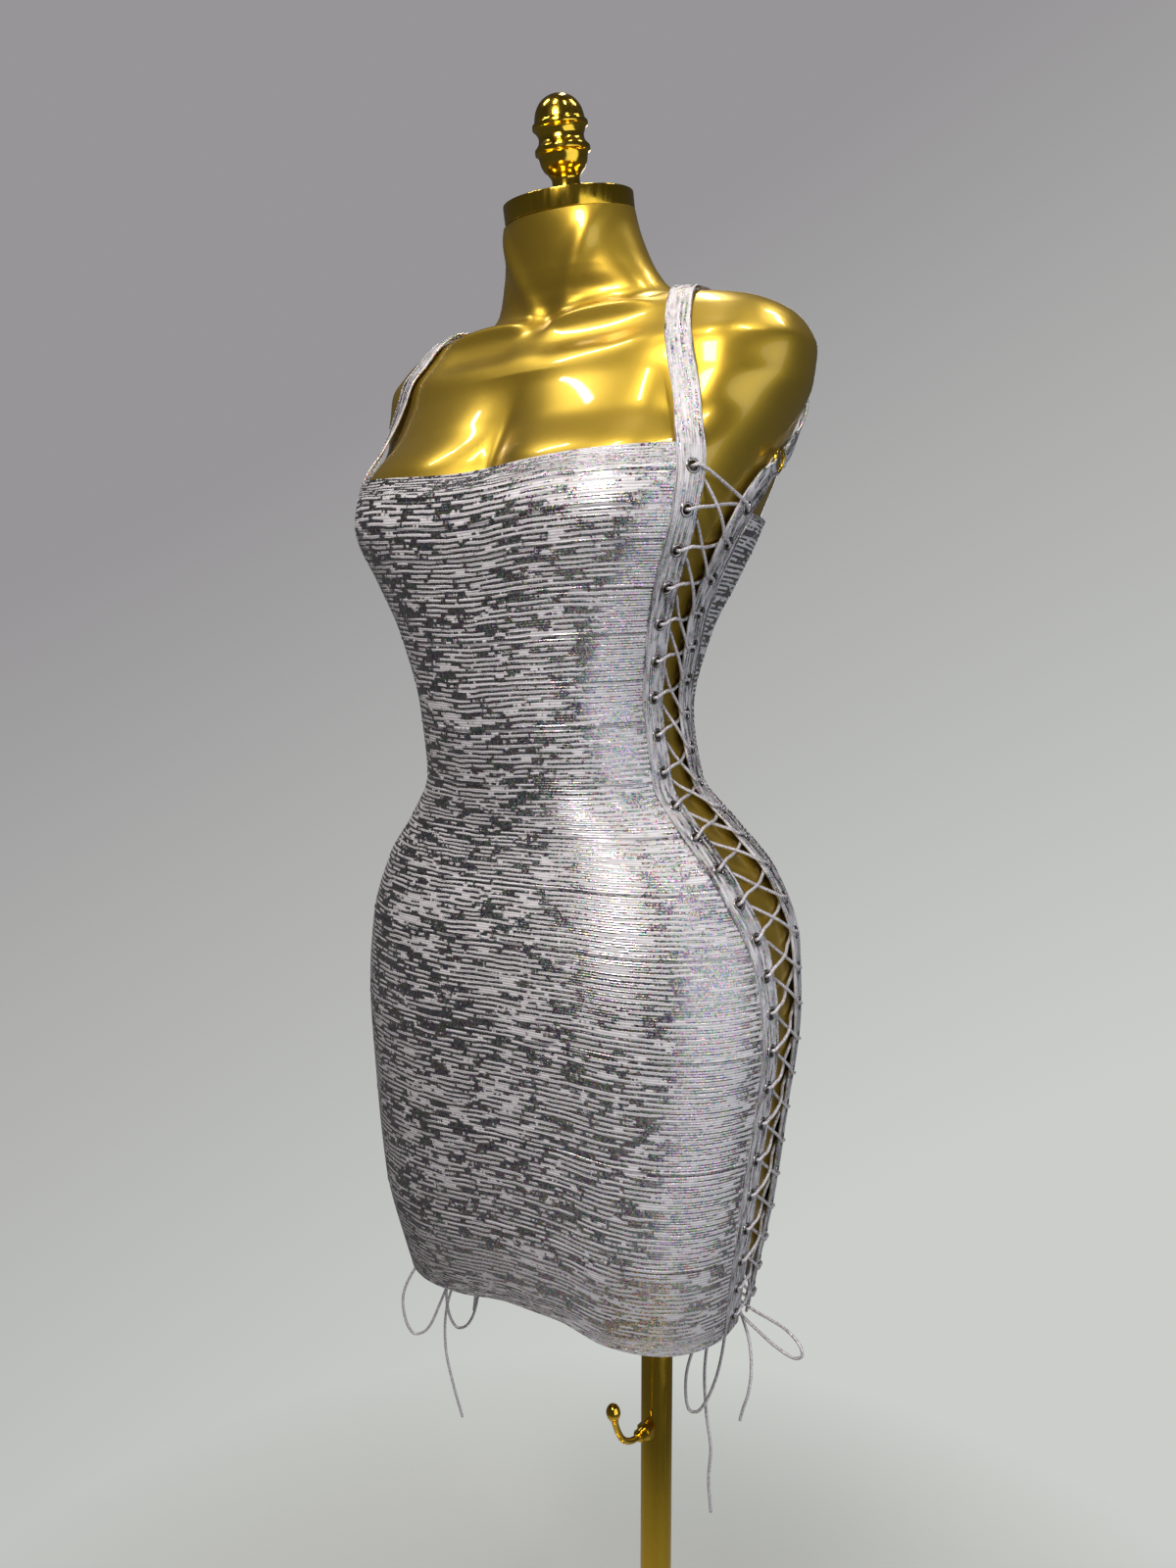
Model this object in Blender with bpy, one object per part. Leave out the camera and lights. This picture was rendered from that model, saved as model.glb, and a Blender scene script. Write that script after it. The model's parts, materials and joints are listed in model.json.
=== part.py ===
"""A bodycon dress of banded knit with laced sides, worn by a limbless dress form on a pole.

Metres, +Z up. The form faces -Y and its left side is +X. The origin is on the underside of the
base, below the middle of the form. The dress is six pieces of cloth: a front and a back panel and
four narrow bands with eyelets. A front band runs on upward as the shoulder strap. Every piece of
cloth is a wall laid on one skin, which is a loft of the sections in the table SECTIONS.
"""

import math

import bmesh
import bpy
import numpy as np

# ---- driving sizes -------------------------------------------------------------------------
CLOTH = 0.0016  # thickness of the panels
BAND_CLOTH = 0.0020  # thickness of a folded band
BAND_WIDTH = 0.021
STRAP_WIDTH = 0.0185
SEAM_GAP = 0.0003
PANEL_GAP = 0.0004  # between the curved edges of a panel and of a band
EYELETS = 25  # on each band
LACE_RADIUS = 0.0012
LACE_ASIDE = 0.0019  # from a band's edge to the middle of the lace where it turns back
LACE_LIFT = (0.0026, -0.0003)  # of the two runs above the skin, so that one crosses over the other
LACE_TURN = 0.0016  # half the height of a turn
FORM_CLEAR = 0.0024  # between the form and the cloth in front and behind
FORM_CLEAR_SIDE = 0.0066  # the same at the sides, where the lace runs between the two

# Sections of the skin: height, half width, reach forward, reach back, squareness front and back.
SECTIONS = np.array([
    (0.600, 0.136, 0.114, 0.099, 2.3, 2.3),
    (0.660, 0.151, 0.131, 0.098, 2.3, 2.3),
    (0.720, 0.165, 0.142, 0.100, 2.3, 2.3),
    (0.800, 0.176, 0.144, 0.104, 2.3, 2.3),
    (0.875, 0.184, 0.143, 0.108, 2.3, 2.3),
    (0.930, 0.181, 0.139, 0.109, 2.3, 2.3),
    (0.980, 0.164, 0.128, 0.094, 2.3, 2.3),
    (1.015, 0.135, 0.121, 0.077, 2.3, 2.3),
    (1.050, 0.107, 0.125, 0.062, 2.3, 2.3),
    (1.100, 0.102, 0.136, 0.056, 2.3, 2.3),
    (1.160, 0.118, 0.145, 0.062, 2.4, 2.3),
    (1.200, 0.139, 0.151, 0.073, 2.6, 2.3),
    (1.235, 0.157, 0.156, 0.080, 2.8, 2.3),
    (1.275, 0.168, 0.143, 0.094, 2.7, 2.3),
    (1.310, 0.176, 0.112, 0.098, 2.4, 2.3),
    (1.335, 0.187, 0.095, 0.092, 2.3, 2.3),
    (1.357, 0.190, 0.084, 0.083, 2.4, 2.4),
    (1.371, 0.184, 0.072, 0.076, 2.5, 2.5),
    (1.382, 0.175, 0.064, 0.070, 2.5, 2.5),
    (1.391, 0.160, 0.058, 0.064, 2.4, 2.4),
    (1.397, 0.142, 0.054, 0.060, 2.3, 2.3),
    (1.402, 0.108, 0.053, 0.056, 2.1, 2.1),
    (1.409, 0.085, 0.053, 0.050, 2.0, 2.0),
    (1.420, 0.070, 0.056, 0.042, 2.0, 2.0),
    (1.445, 0.057, 0.063, 0.031, 2.0, 2.0),
    (1.475, 0.048, 0.071, 0.024, 2.0, 2.0),
    (1.500, 0.046, 0.074, 0.021, 2.0, 2.0),
])

# How far the form dips between the breasts, where the dress bridges it: height, depth.
CLEAVAGE = np.array([
    (1.150, 0.000), (1.190, 0.010), (1.235, 0.020), (1.275, 0.019), (1.310, 0.009), (1.345, 0.000),
])
CLEAVAGE_WIDTH = 0.030

# Edges of the panels, as angle from the front in degrees and height.
NECKLINE = np.array([(-60, 1.281), (-30, 1.271), (0, 1.265), (30, 1.273), (60, 1.278)])
FRONT_HEM = np.array([
    (-90, 0.634), (-60, 0.643), (-30, 0.652), (-8, 0.662), (10, 0.671), (24, 0.667), (38, 0.649),
    (60, 0.634), (90, 0.626),
])
BACK_TOP = np.array([(90, 1.246), (140, 1.242), (180, 1.236), (220, 1.242), (270, 1.246)])
BACK_HEM = np.array([(90, 0.627), (140, 0.632), (180, 0.634), (220, 0.632), (270, 0.627)])

# Middle line of the left front band below the neckline: height, angle in degrees.
FRONT_LINE = np.array([
    (1.264, 59.5), (1.240, 62.5), (1.215, 64.5), (1.192, 67.0), (1.168, 71.0), (1.142, 74.8),
    (1.115, 78.0), (1.088, 79.2), (1.063, 78.2), (1.037, 75.5), (1.015, 72.2), (0.996, 72.0),
    (0.972, 73.6), (0.949, 76.5), (0.924, 80.0), (0.897, 82.8), (0.869, 84.2), (0.811, 85.3),
    (0.757, 84.6), (0.702, 85.9), (0.674, 87.6), (0.644, 89.6), (0.620, 91.0),
])
# The strap above it, from the ring's middle, over the shoulder and down to the neckline: height,
# distance from the middle of the form, back (1) or front (-1).
STRAP_LINE = np.array([
    (1.278, 0.1670, 1), (1.300, 0.163, 1), (1.320, 0.158, 1), (1.340, 0.151, 1), (1.360, 0.142, 1),
    (1.380, 0.130, 1), (1.392, 0.120, 1), (1.399, 0.112, 1), (1.4022, 0.1068, 1),
    (1.399, 0.109, -1), (1.392, 0.112, -1), (1.380, 0.117, -1), (1.360, 0.125, -1),
    (1.330, 0.135, -1), (1.300, 0.1445, -1),
])
# Middle line of the left back band, from the ring's middle to the hem: height, angle.
BACK_LINE = np.array([
    (1.278, 99.8), (1.260, 94.5), (1.243, 91.0), (1.220, 88.5), (1.198, 89.0), (1.175, 92.5),
    (1.149, 98.0), (1.120, 103.0), (1.090, 106.0), (1.050, 107.0), (1.020, 105.0), (0.990, 104.0),
    (0.950, 105.0), (0.900, 107.0), (0.850, 108.0), (0.750, 108.0), (0.700, 109.0), (0.650, 111.0),
    (0.620, 112.5),
])
FIRST_EYELET = (1.264, 1.243)  # heights of the top eyelets, front and back
LAST_EYELET = 0.645
BAND_END = 0.017  # cloth below the last eyelet
PANEL_TOPS = (0.0145, 0.0040)  # cloth of the front and back panels above the first eyelet
STRAP_STEP = 0.0100  # length of the flat stretches of the strap

RING_RADIUS = 0.0085
RING_WIRE = 0.0012
RING_SIDES = (16, 6)  # round the ring and round its wire
RING_REACH = RING_RADIUS + RING_WIRE + 0.0005  # from the ring's middle to the cloth's ends

FORM_BOTTOM = 0.690
NECK_TOP = 1.470
NECK_TILT = math.radians(11)
NECK_TILT_FROM = 1.430
NECK_CLEAR_FROM = 1.425  # above this height nothing lies on the form
CAP_RADIUS = 0.0495
CAP_HEIGHT = 0.014
CAP_BEVEL = 0.0008
# The turned finial: height above the cap, radius.
FINIAL = (
    (0.0000, 0.0150), (0.0020, 0.0155), (0.0040, 0.0140), (0.0065, 0.0110), (0.0120, 0.0105),
    (0.0165, 0.0125), (0.0220, 0.0165), (0.0290, 0.0190), (0.0320, 0.0208), (0.0350, 0.0208),
    (0.0380, 0.0180), (0.0420, 0.0170), (0.0460, 0.0185), (0.0485, 0.0208), (0.0515, 0.0208),
    (0.0540, 0.0188), (0.0590, 0.0180), (0.0645, 0.0155), (0.0690, 0.0108), (0.0720, 0.0050),
)

POLE_AT = (0.070, 0.000)
POLE_RADIUS = 0.0127
COLLAR_RADIUS = 0.027
COLLAR_HEIGHT = 0.016
BASE_RADIUS = 0.175
BASE_THICK = 0.012
BASE_HUB = (0.024, 0.026)  # radius and height of the boss that the pole stands in
HOOK_Z = 0.518
# The hook's arm: distance out from the pole's middle, rise, radius of the rod.
HOOK = (
    (0.0132, 0.000, 0.0075), (0.0185, 0.000, 0.0075), (0.0190, 0.000, 0.0052),
    (0.0260, 0.001, 0.0050), (0.0265, 0.001, 0.0026), (0.0340, 0.002, 0.0025),
    (0.0430, 0.006, 0.0025), (0.0510, 0.014, 0.0025), (0.0570, 0.025, 0.0025),
    (0.0600, 0.034, 0.0030), (0.0610, 0.037, 0.0048), (0.0618, 0.041, 0.0056),
    (0.0624, 0.045, 0.0044), (0.0628, 0.0475, 0.0018),
)

# ---- curves and the skin -------------------------------------------------------------------


def smooth(at, knots, values):
    """A monotone cubic curve through the points (knots, values), read at `at`."""
    at = np.asarray(at, float)
    knots, values = np.asarray(knots, float), np.asarray(values, float)
    step = np.diff(knots)
    rise = np.diff(values) / step
    same = rise[:-1] * rise[1:] > 0
    one, two = 2 * step[1:] + step[:-1], step[1:] + 2 * step[:-1]
    with np.errstate(divide="ignore", invalid="ignore"):
        middle = (one + two) / (one / rise[:-1] + two / rise[1:])
    slope = np.concatenate([[rise[0]], np.where(same, middle, 0.0), [rise[-1]]])
    i = np.clip(np.searchsorted(knots, at, side="right") - 1, 0, len(step) - 1)
    t = (at - knots[i]) / step[i]
    return (
        values[i] * (1 + 2 * t) * (1 - t) ** 2
        + slope[i] * step[i] * t * (1 - t) ** 2
        + values[i + 1] * t * t * (3 - 2 * t)
        - slope[i + 1] * step[i] * t * t * (1 - t)
    )


def skin(angle, z):
    """The point of the skin at an angle from the front (towards +X) and a height.

    Each section is a superellipse, with its own squareness in front and behind.
    """
    angle, z = np.broadcast_arrays(np.asarray(angle, float), np.asarray(z, float))
    half, front, back, square_front, square_back = (
        smooth(z, SECTIONS[:, 0], SECTIONS[:, k]) for k in range(1, 6)
    )
    s, c = np.sin(angle), np.cos(angle)
    n = np.where(c > 0, square_front, square_back)
    r = (np.abs(s) ** n + np.abs(c) ** n) ** (-1 / n)
    y = (back - front) / 2 - (front + back) / 2 * r * c
    return np.stack([half * r * s, y, z], axis=-1)


def slopes(angle, z, step=2e-4):
    """How the skin's point moves with the angle and with the height."""
    by_angle = (skin(angle + step, z) - skin(angle - step, z)) / (2 * step)
    by_height = (skin(angle, z + step) - skin(angle, z - step)) / (2 * step)
    return by_angle, by_height


def unit(v):
    return v / np.linalg.norm(v, axis=-1, keepdims=True)


def lifted(angle, z, lift):
    """A point of the skin moved out along the skin's normal."""
    by_angle, by_height = slopes(angle, z)
    return skin(angle, z) + np.asarray(lift)[..., None] * unit(np.cross(by_angle, by_height))


def angle_at(x, z, side):
    """The angle at which the skin is x from its middle, in front (side -1) or behind (1)."""
    half, _, _, square_front, square_back = (
        smooth(z, SECTIONS[:, 0], SECTIONS[:, k]) for k in range(1, 6)
    )
    n = np.where(side < 0, square_front, square_back)
    share = np.clip(x / half, 0, 1)
    angle = np.arctan2(share, (1 - share**n) ** (1 / n))
    return np.where(side < 0, angle, math.pi - angle)


class Line:
    """A line on the skin, by its length: points (angle, height) joined by a smooth curve."""

    def __init__(self, angles, heights):
        points = skin(angles, heights)
        knots = np.concatenate([[0], np.cumsum(np.linalg.norm(np.diff(points, axis=0), axis=1))])
        fine = np.linspace(0, knots[-1], 600)
        self.angles, self.heights = smooth(fine, knots, angles), smooth(fine, knots, heights)
        run = np.linalg.norm(np.diff(skin(self.angles, self.heights), axis=0), axis=1)
        self.along = np.concatenate([[0], np.cumsum(run)])

    def at(self, along):
        """Angle and height at a length from the start."""
        return np.interp(along, self.along, self.angles), np.interp(along, self.along, self.heights)

    def length_at(self, z):
        """The length at which the line, on its way down, is at this height."""
        top = int(np.argmax(self.heights))
        return float(np.interp(-z, -self.heights[top:], self.along[top:]))

    def beside(self, along, aside):
        """Angle and height of the place on the skin that is `aside` to the line's left."""
        step = 5e-4
        angle, z = self.at(along)
        by_angle, by_height = slopes(angle, z)
        ahead, behind = self.at(along + step), self.at(along - step)
        way = unit(skin(*ahead) - skin(*behind))
        across = np.asarray(aside)[..., None] * np.cross(unit(np.cross(by_angle, by_height)), way)
        # the two unknown steps, in angle and in height, that add up to this sideways move
        aa, ah, hh = ((p * q).sum(-1) for p, q in (
            (by_angle, by_angle), (by_angle, by_height), (by_height, by_height)))
        pa, ph = (by_angle * across).sum(-1), (by_height * across).sum(-1)
        det = aa * hh - ah * ah
        return angle + (pa * hh - ph * ah) / det, z + (ph * aa - pa * ah) / det

    def place(self, along, aside, lift):
        return lifted(*self.beside(along, aside), lift)


def front_line():
    strap = angle_at(STRAP_LINE[:, 1], STRAP_LINE[:, 0], STRAP_LINE[:, 2])
    angles = np.concatenate([strap, np.radians(FRONT_LINE[:, 1])])
    heights = np.concatenate([STRAP_LINE[:, 0], FRONT_LINE[:, 0]])
    return Line(angles, heights)


def back_line():
    return Line(np.radians(BACK_LINE[:, 1]), BACK_LINE[:, 0])


def eyelet_lengths(line, first):
    return np.linspace(line.length_at(first), line.length_at(LAST_EYELET), EYELETS)


# ---- meshes --------------------------------------------------------------------------------


def material(name, color, roughness, metallic):
    made = bpy.data.materials.new(name)
    made.use_nodes = True
    shader = made.node_tree.nodes["Principled BSDF"]
    shader.inputs["Base Color"].default_value = (*color, 1)
    shader.inputs["Roughness"].default_value = roughness
    shader.inputs["Metallic"].default_value = metallic
    return made


def add(name, points, faces, look, smooth_below=40):
    """Makes an object of points and faces, with its faces turned outwards."""
    mesh = bpy.data.meshes.new(name)
    mesh.from_pydata([tuple(p) for p in points], [], [tuple(int(i) for i in f) for f in faces])
    built = bmesh.new()
    built.from_mesh(mesh)
    bmesh.ops.remove_doubles(built, verts=built.verts, dist=1e-7)
    bmesh.ops.recalc_face_normals(built, faces=built.faces)
    if built.calc_volume(signed=True) < 0:
        bmesh.ops.reverse_faces(built, faces=built.faces)
    built.to_mesh(mesh)
    built.free()
    mesh.shade_smooth()
    mesh.set_sharp_from_angle(angle=math.radians(smooth_below))
    obj = bpy.data.objects.new(name, mesh)
    bpy.context.scene.collection.objects.link(obj)
    obj.data.materials.append(material(name, *look))
    return obj


def mirrored(obj, name, look):
    """The same piece for the other side of the form."""
    points = np.array([v.co for v in obj.data.vertices]) * (-1, 1, 1)
    return add(name, points, [tuple(p.vertices) for p in obj.data.polygons], look)


def wall(outer, inner):
    """A closed wall between two grids of points of the same shape, with its four edges."""
    rows, cols = outer.shape[:2]
    index = np.arange(rows * cols).reshape(rows, cols)
    faces = []
    for shift, flip in ((0, False), (rows * cols, True)):
        quads = np.stack([index[:-1, :-1], index[:-1, 1:], index[1:, 1:], index[1:, :-1]], -1)
        quads = quads.reshape(-1, 4) + shift
        faces += list(quads[:, ::-1] if flip else quads)
    rim = np.concatenate([index[0], index[1:, -1], index[-1, -2::-1], index[-2:0:-1, 0]])
    after = np.roll(rim, -1)
    faces += list(np.stack([rim, rim + rows * cols, after + rows * cols, after], -1))
    return np.concatenate([outer.reshape(-1, 3), inner.reshape(-1, 3)]), faces


def stack(rings):
    """A closed solid of rings of points, each with its ends capped by one face."""
    count, around = rings.shape[:2]
    index = np.arange(count * around).reshape(count, around)
    nxt = np.roll(index, -1, axis=1)
    quads = np.stack([index[:-1], nxt[:-1], nxt[1:], index[1:]], -1).reshape(-1, 4)
    return rings.reshape(-1, 3), list(quads) + [tuple(index[0][::-1]), tuple(index[-1])]


def turned(profile, sides):
    """Rings for a turned shape: (height, radius) rows around Z."""
    turn = np.linspace(0, 2 * math.pi, sides, endpoint=False)
    profile = np.array(profile)
    flat = np.stack([np.cos(turn), np.sin(turn)], -1)
    rings = profile[:, 1, None, None] * flat[None]
    heights = np.repeat(profile[:, 0, None, None], sides, axis=1)
    return np.concatenate([rings, heights], -1)


def tilted(points, at):
    """Leans points forward by the neck's tilt, then stands them at a place."""
    c, s = math.cos(NECK_TILT), math.sin(NECK_TILT)
    x, y, z = np.moveaxis(points, -1, 0)
    return np.stack([x, y * c - z * s, y * s + z * c], -1) + at


# ---- the dress form ------------------------------------------------------------------------


def form_clearance(angle, z):
    """How far the form lies inside the skin: little at front and back, more at the lacing."""
    side = np.sin(angle) ** 4 * np.clip((1.330 - z) / 0.050, 0, 1)
    here = FORM_CLEAR + (FORM_CLEAR_SIDE - FORM_CLEAR) * side
    return here * np.clip((NECK_CLEAR_FROM - z) / 0.020, 0, 1)


def neck_top():
    """The middle of the neck's flat top, before it is leant forward."""
    ring = skin(np.linspace(0, 2 * math.pi, 64, endpoint=False), np.full(64, NECK_TOP))
    return ring.mean(axis=0)


def torso(look):
    sides = 30
    heights = np.concatenate([
        np.linspace(FORM_BOTTOM, 0.91, 7), np.linspace(0.94, 1.13, 9), (1.170, 1.210, 1.245),
        (1.270, 1.288, 1.303, 1.318, 1.334, 1.352, 1.368, 1.380, 1.390, 1.3965, 1.402, 1.409, 1.420,
         1.438, NECK_TOP),
    ])
    turn = np.linspace(0, 2 * math.pi, sides, endpoint=False)
    angle, z = np.meshgrid(turn, heights)
    points = lifted(angle, z, -form_clearance(angle, z))
    dip = smooth(np.clip(z, CLEAVAGE[0, 0], CLEAVAGE[-1, 0]), CLEAVAGE[:, 0], CLEAVAGE[:, 1])
    in_front = np.cos(angle) > 0
    points[..., 1] += in_front * dip * np.exp(-((points[..., 0] / CLEAVAGE_WIDTH) ** 2))
    # the neck leans forward a little more with each height, up to the tilt of its top
    lean = np.clip((z - NECK_TILT_FROM) / (NECK_TOP - NECK_TILT_FROM), 0, 1)
    points[..., 2] += lean * (points[..., 1] - neck_top()[1]) * math.tan(NECK_TILT)
    # the underside is one flat, slightly smaller face
    foot = points[0].copy()
    foot[:, :2] *= 0.985
    foot[:, 2] = FORM_BOTTOM - 0.004
    return add("torso", *stack(np.concatenate([foot[None], points])), look)


def neck_cap(look):
    profile = [
        (0, CAP_RADIUS - CAP_BEVEL), (CAP_BEVEL, CAP_RADIUS),
        (CAP_HEIGHT - CAP_BEVEL, CAP_RADIUS), (CAP_HEIGHT, CAP_RADIUS - CAP_BEVEL),
    ]
    seat = neck_top() + np.array([0, -math.sin(NECK_TILT), math.cos(NECK_TILT)]) * SEAM_GAP
    return add("neck_cap", *stack(tilted(turned(profile, 28), seat)), look, 30)


def finial(look):
    up = np.array([0, -math.sin(NECK_TILT), math.cos(NECK_TILT)])
    seat = neck_top() + up * (CAP_HEIGHT + 2 * SEAM_GAP)
    return add("finial", *stack(tilted(turned(FINIAL, 16), seat)), look, 60)


# ---- the stand -----------------------------------------------------------------------------


def standing(name, profile, sides, look):
    points = turned(profile, sides) + np.array([*POLE_AT, 0])
    return add(name, *stack(points), look, 30)


def base(look):
    hub, hub_top = BASE_HUB
    profile = [
        (0, BASE_RADIUS - 0.001), (0.001, BASE_RADIUS), (BASE_THICK - 0.004, BASE_RADIUS),
        (BASE_THICK - 0.001, BASE_RADIUS - 0.003), (BASE_THICK, BASE_RADIUS - 0.007),
        (BASE_THICK + 0.002, hub + 0.014), (BASE_THICK + 0.004, hub + 0.002),
        (hub_top - 0.001, hub), (hub_top, hub - 0.001),
    ]
    return standing("base", profile, 40, look)


def pole(look):
    top = FORM_BOTTOM - 0.004 - COLLAR_HEIGHT - 2 * SEAM_GAP
    foot = BASE_HUB[1] + SEAM_GAP
    return standing("pole", [(foot, POLE_RADIUS), (top, POLE_RADIUS)], 24, look)


def collar(look):
    top = FORM_BOTTOM - 0.004 - SEAM_GAP
    profile = [
        (top - COLLAR_HEIGHT, 0.0155), (top - 0.005, 0.0160), (top - 0.004, COLLAR_RADIUS),
        (top, COLLAR_RADIUS),
    ]
    return standing("collar", profile, 24, look)


def hook(look):
    """The rod swept from the pole outwards and up to its ball, with the nut at its root."""
    rows = np.array(HOOK)
    middle = np.stack([np.zeros(len(rows)), -rows[:, 0], rows[:, 1]], -1)
    way = unit(np.gradient(middle, axis=0))
    way[:5] = (0, -1, 0)
    across = np.array([1.0, 0, 0])
    up = np.cross(across, way)
    turn = np.linspace(0, 2 * math.pi, 12, endpoint=False)
    ring = np.cos(turn)[None, :, None] * across + np.sin(turn)[None, :, None] * up[:, None]
    points = middle[:, None] + rows[:, 2, None, None] * ring + np.array([*POLE_AT, HOOK_Z])
    return add("hook", *stack(points), look, 50)


# ---- the panels ----------------------------------------------------------------------------


def panel(name, edges, top, bottom, columns, look):
    """A wall on the skin between two edges, each given as angles and heights, row by row.

    Rows bend to the top edge's shape at the top and to the hem's at the bottom.
    """
    (start, start_z), (end, end_z) = edges
    rows = len(start)
    share, across = np.meshgrid(np.linspace(0, 1, rows), np.linspace(0, 1, columns), indexing="ij")
    angle = start[:, None] + (end - start)[:, None] * across
    z = start_z[:, None] + (end_z - start_z)[:, None] * across
    for table, weight in ((top, (1 - share) ** 3), (bottom, share**3)):
        shape = smooth(np.degrees(angle), table[:, 0], table[:, 1])
        z = z + weight * (shape - shape[:, :1] * (1 - across) - shape[:, -1:] * across)
    return add(name, *wall(lifted(angle, z, CLOTH + 0 * z), lifted(angle, z, 0 * z)), look)


def panels(front, back, look):
    reach = BAND_WIDTH / 2 + PANEL_GAP
    rows = panel_rows(front, 0)
    angle, z = front.beside(rows, np.full(len(rows), -reach))
    panel("front_panel", ((-angle, z), (angle, z)), NECKLINE, FRONT_HEM, 17, look)
    rows = panel_rows(back, 1)
    angle, z = back.beside(rows, np.full(len(rows), reach))
    panel("back_panel", ((angle, z), (2 * math.pi - angle, z)), BACK_TOP, BACK_HEM, 13, look)


# ---- the bands -----------------------------------------------------------------------------


def panel_rows(line, which):
    """Lengths along a band at which it and the panel beside it have rows of points."""
    holes = eyelet_lengths(line, FIRST_EYELET[which])
    return np.concatenate([[holes[0] - PANEL_TOPS[which]], holes, [holes[-1] + BAND_END]])


def band(name, line, which, look):
    """A wall along a line on the skin, from the ring to the hem, narrower above the panel."""
    rows = panel_rows(line, which)
    above = math.ceil((rows[0] - RING_REACH) / STRAP_STEP)
    rows = np.concatenate([np.linspace(RING_REACH, rows[0], above + 1)[:-1], rows])
    narrow = np.clip((rows[above] - rows) / 0.03, 0, 1)
    half = (BAND_WIDTH - (BAND_WIDTH - STRAP_WIDTH) * narrow) / 2
    along = np.repeat(rows[:, None], 3, axis=1)
    aside = half[:, None] * np.array([1.0, 0.0, -1.0])
    outer = line.place(along, aside, np.full(along.shape, BAND_CLOTH))
    inner = line.place(along, aside, np.zeros(along.shape))
    return add(name, *wall(outer, inner), look)


def ring(look):
    """A small wire ring that lies flat on the skin between the strap and the back band's tab."""
    z, angle = BACK_LINE[0, 0], math.radians(BACK_LINE[0, 1])
    by_angle, by_height = slopes(angle, z)
    out = unit(np.cross(by_angle, by_height))
    side = unit(by_angle)
    up = np.cross(out, side)
    middle = lifted(angle, z, RING_WIRE + SEAM_GAP)
    turn = np.linspace(0, 2 * math.pi, RING_SIDES[0], endpoint=False)
    small = np.linspace(0, 2 * math.pi, RING_SIDES[1], endpoint=False)
    ray = np.cos(turn)[:, None] * side + np.sin(turn)[:, None] * up
    reach = RING_RADIUS + RING_WIRE * np.cos(small)
    points = middle + reach[None, :, None] * ray[:, None]
    points = points + (RING_WIRE * np.sin(small))[None, :, None] * out
    index = np.arange(RING_SIDES[0] * RING_SIDES[1]).reshape(RING_SIDES)
    nxt, over = np.roll(index, -1, axis=0), np.roll(index, -1, axis=1)
    both = np.roll(nxt, -1, axis=1)
    faces = np.stack([index, nxt, both, over], -1).reshape(-1, 4)
    return add("strap_ring_left", points.reshape(-1, 3), list(faces), look, 60)


# ---- the lace ------------------------------------------------------------------------------


def cord(name, points, look, side=1):
    """A tube along points, mirrored to the other side of the form when side is -1."""
    curve = bpy.data.curves.new(name, "CURVE")
    curve.dimensions = "3D"
    curve.bevel_depth = LACE_RADIUS
    curve.bevel_resolution = 2
    curve.use_fill_caps = True
    spline = curve.splines.new("POLY")
    spline.points.add(len(points) - 1)
    for spot, (x, y, z) in zip(spline.points, points):
        spot.co = (side * x, y, z, 1)
    obj = bpy.data.objects.new(name, curve)
    bpy.context.scene.collection.objects.link(obj)
    obj.data.materials.append(material(name, *look))
    return obj


def midway(start, end, lift):
    """The lifted place on the skin halfway between two others, given as angles and heights."""
    angle, z = (np.array(start) + np.array(end)) / 2
    return lifted(angle, z, lift)


def lace_run(front, back, first, lift):
    """Points of one run, which goes to and fro between the edges of the bands, down to the hem.

    It turns back at the height of each eyelet. Where the real cord goes on through the cloth to
    the eyelet, it isn't modelled.
    """
    lines = {"front": (front, eyelet_lengths(front, FIRST_EYELET[0]), 1),
             "back": (back, eyelet_lengths(back, FIRST_EYELET[1]), -1)}
    points = []
    here = first
    for i in range(EYELETS):
        line, holes, way = lines[here]
        if i:
            points.append(midway(left_at, line.at(holes[i]), lift))
        for turn in (-LACE_TURN, LACE_TURN):
            points.append(line.place(holes[i] + turn, way * (BAND_WIDTH / 2 + LACE_ASIDE), lift))
        left_at = line.at(holes[i])
        here = "back" if here == "front" else "front"
    return points


def curved(route, count):
    """Points read evenly from a smooth curve through a route's own points."""
    route = np.array(route)
    knots = np.concatenate([[0], np.cumsum(np.linalg.norm(np.diff(route, axis=0), axis=1))])
    padded = np.concatenate([[2 * route[0] - route[1]], route, [2 * route[-1] - route[-2]]])
    places = np.concatenate([[-(knots[1])], knots, [2 * knots[-1] - knots[-2]]])
    slope = (padded[2:] - padded[:-2]) / (places[2:] - places[:-2])[:, None]
    at = np.linspace(0, knots[-1], count)
    i = np.clip(np.searchsorted(knots, at, side="right") - 1, 0, len(route) - 2)
    step = (knots[i + 1] - knots[i])[:, None]
    t = (at - knots[i])[:, None] / step
    return (
        route[i] * (1 + 2 * t) * (1 - t) ** 2 + slope[i] * step * t * (1 - t) ** 2
        + route[i + 1] * t * t * (3 - 2 * t) - slope[i + 1] * step * t * t * (1 - t)
    )


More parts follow.
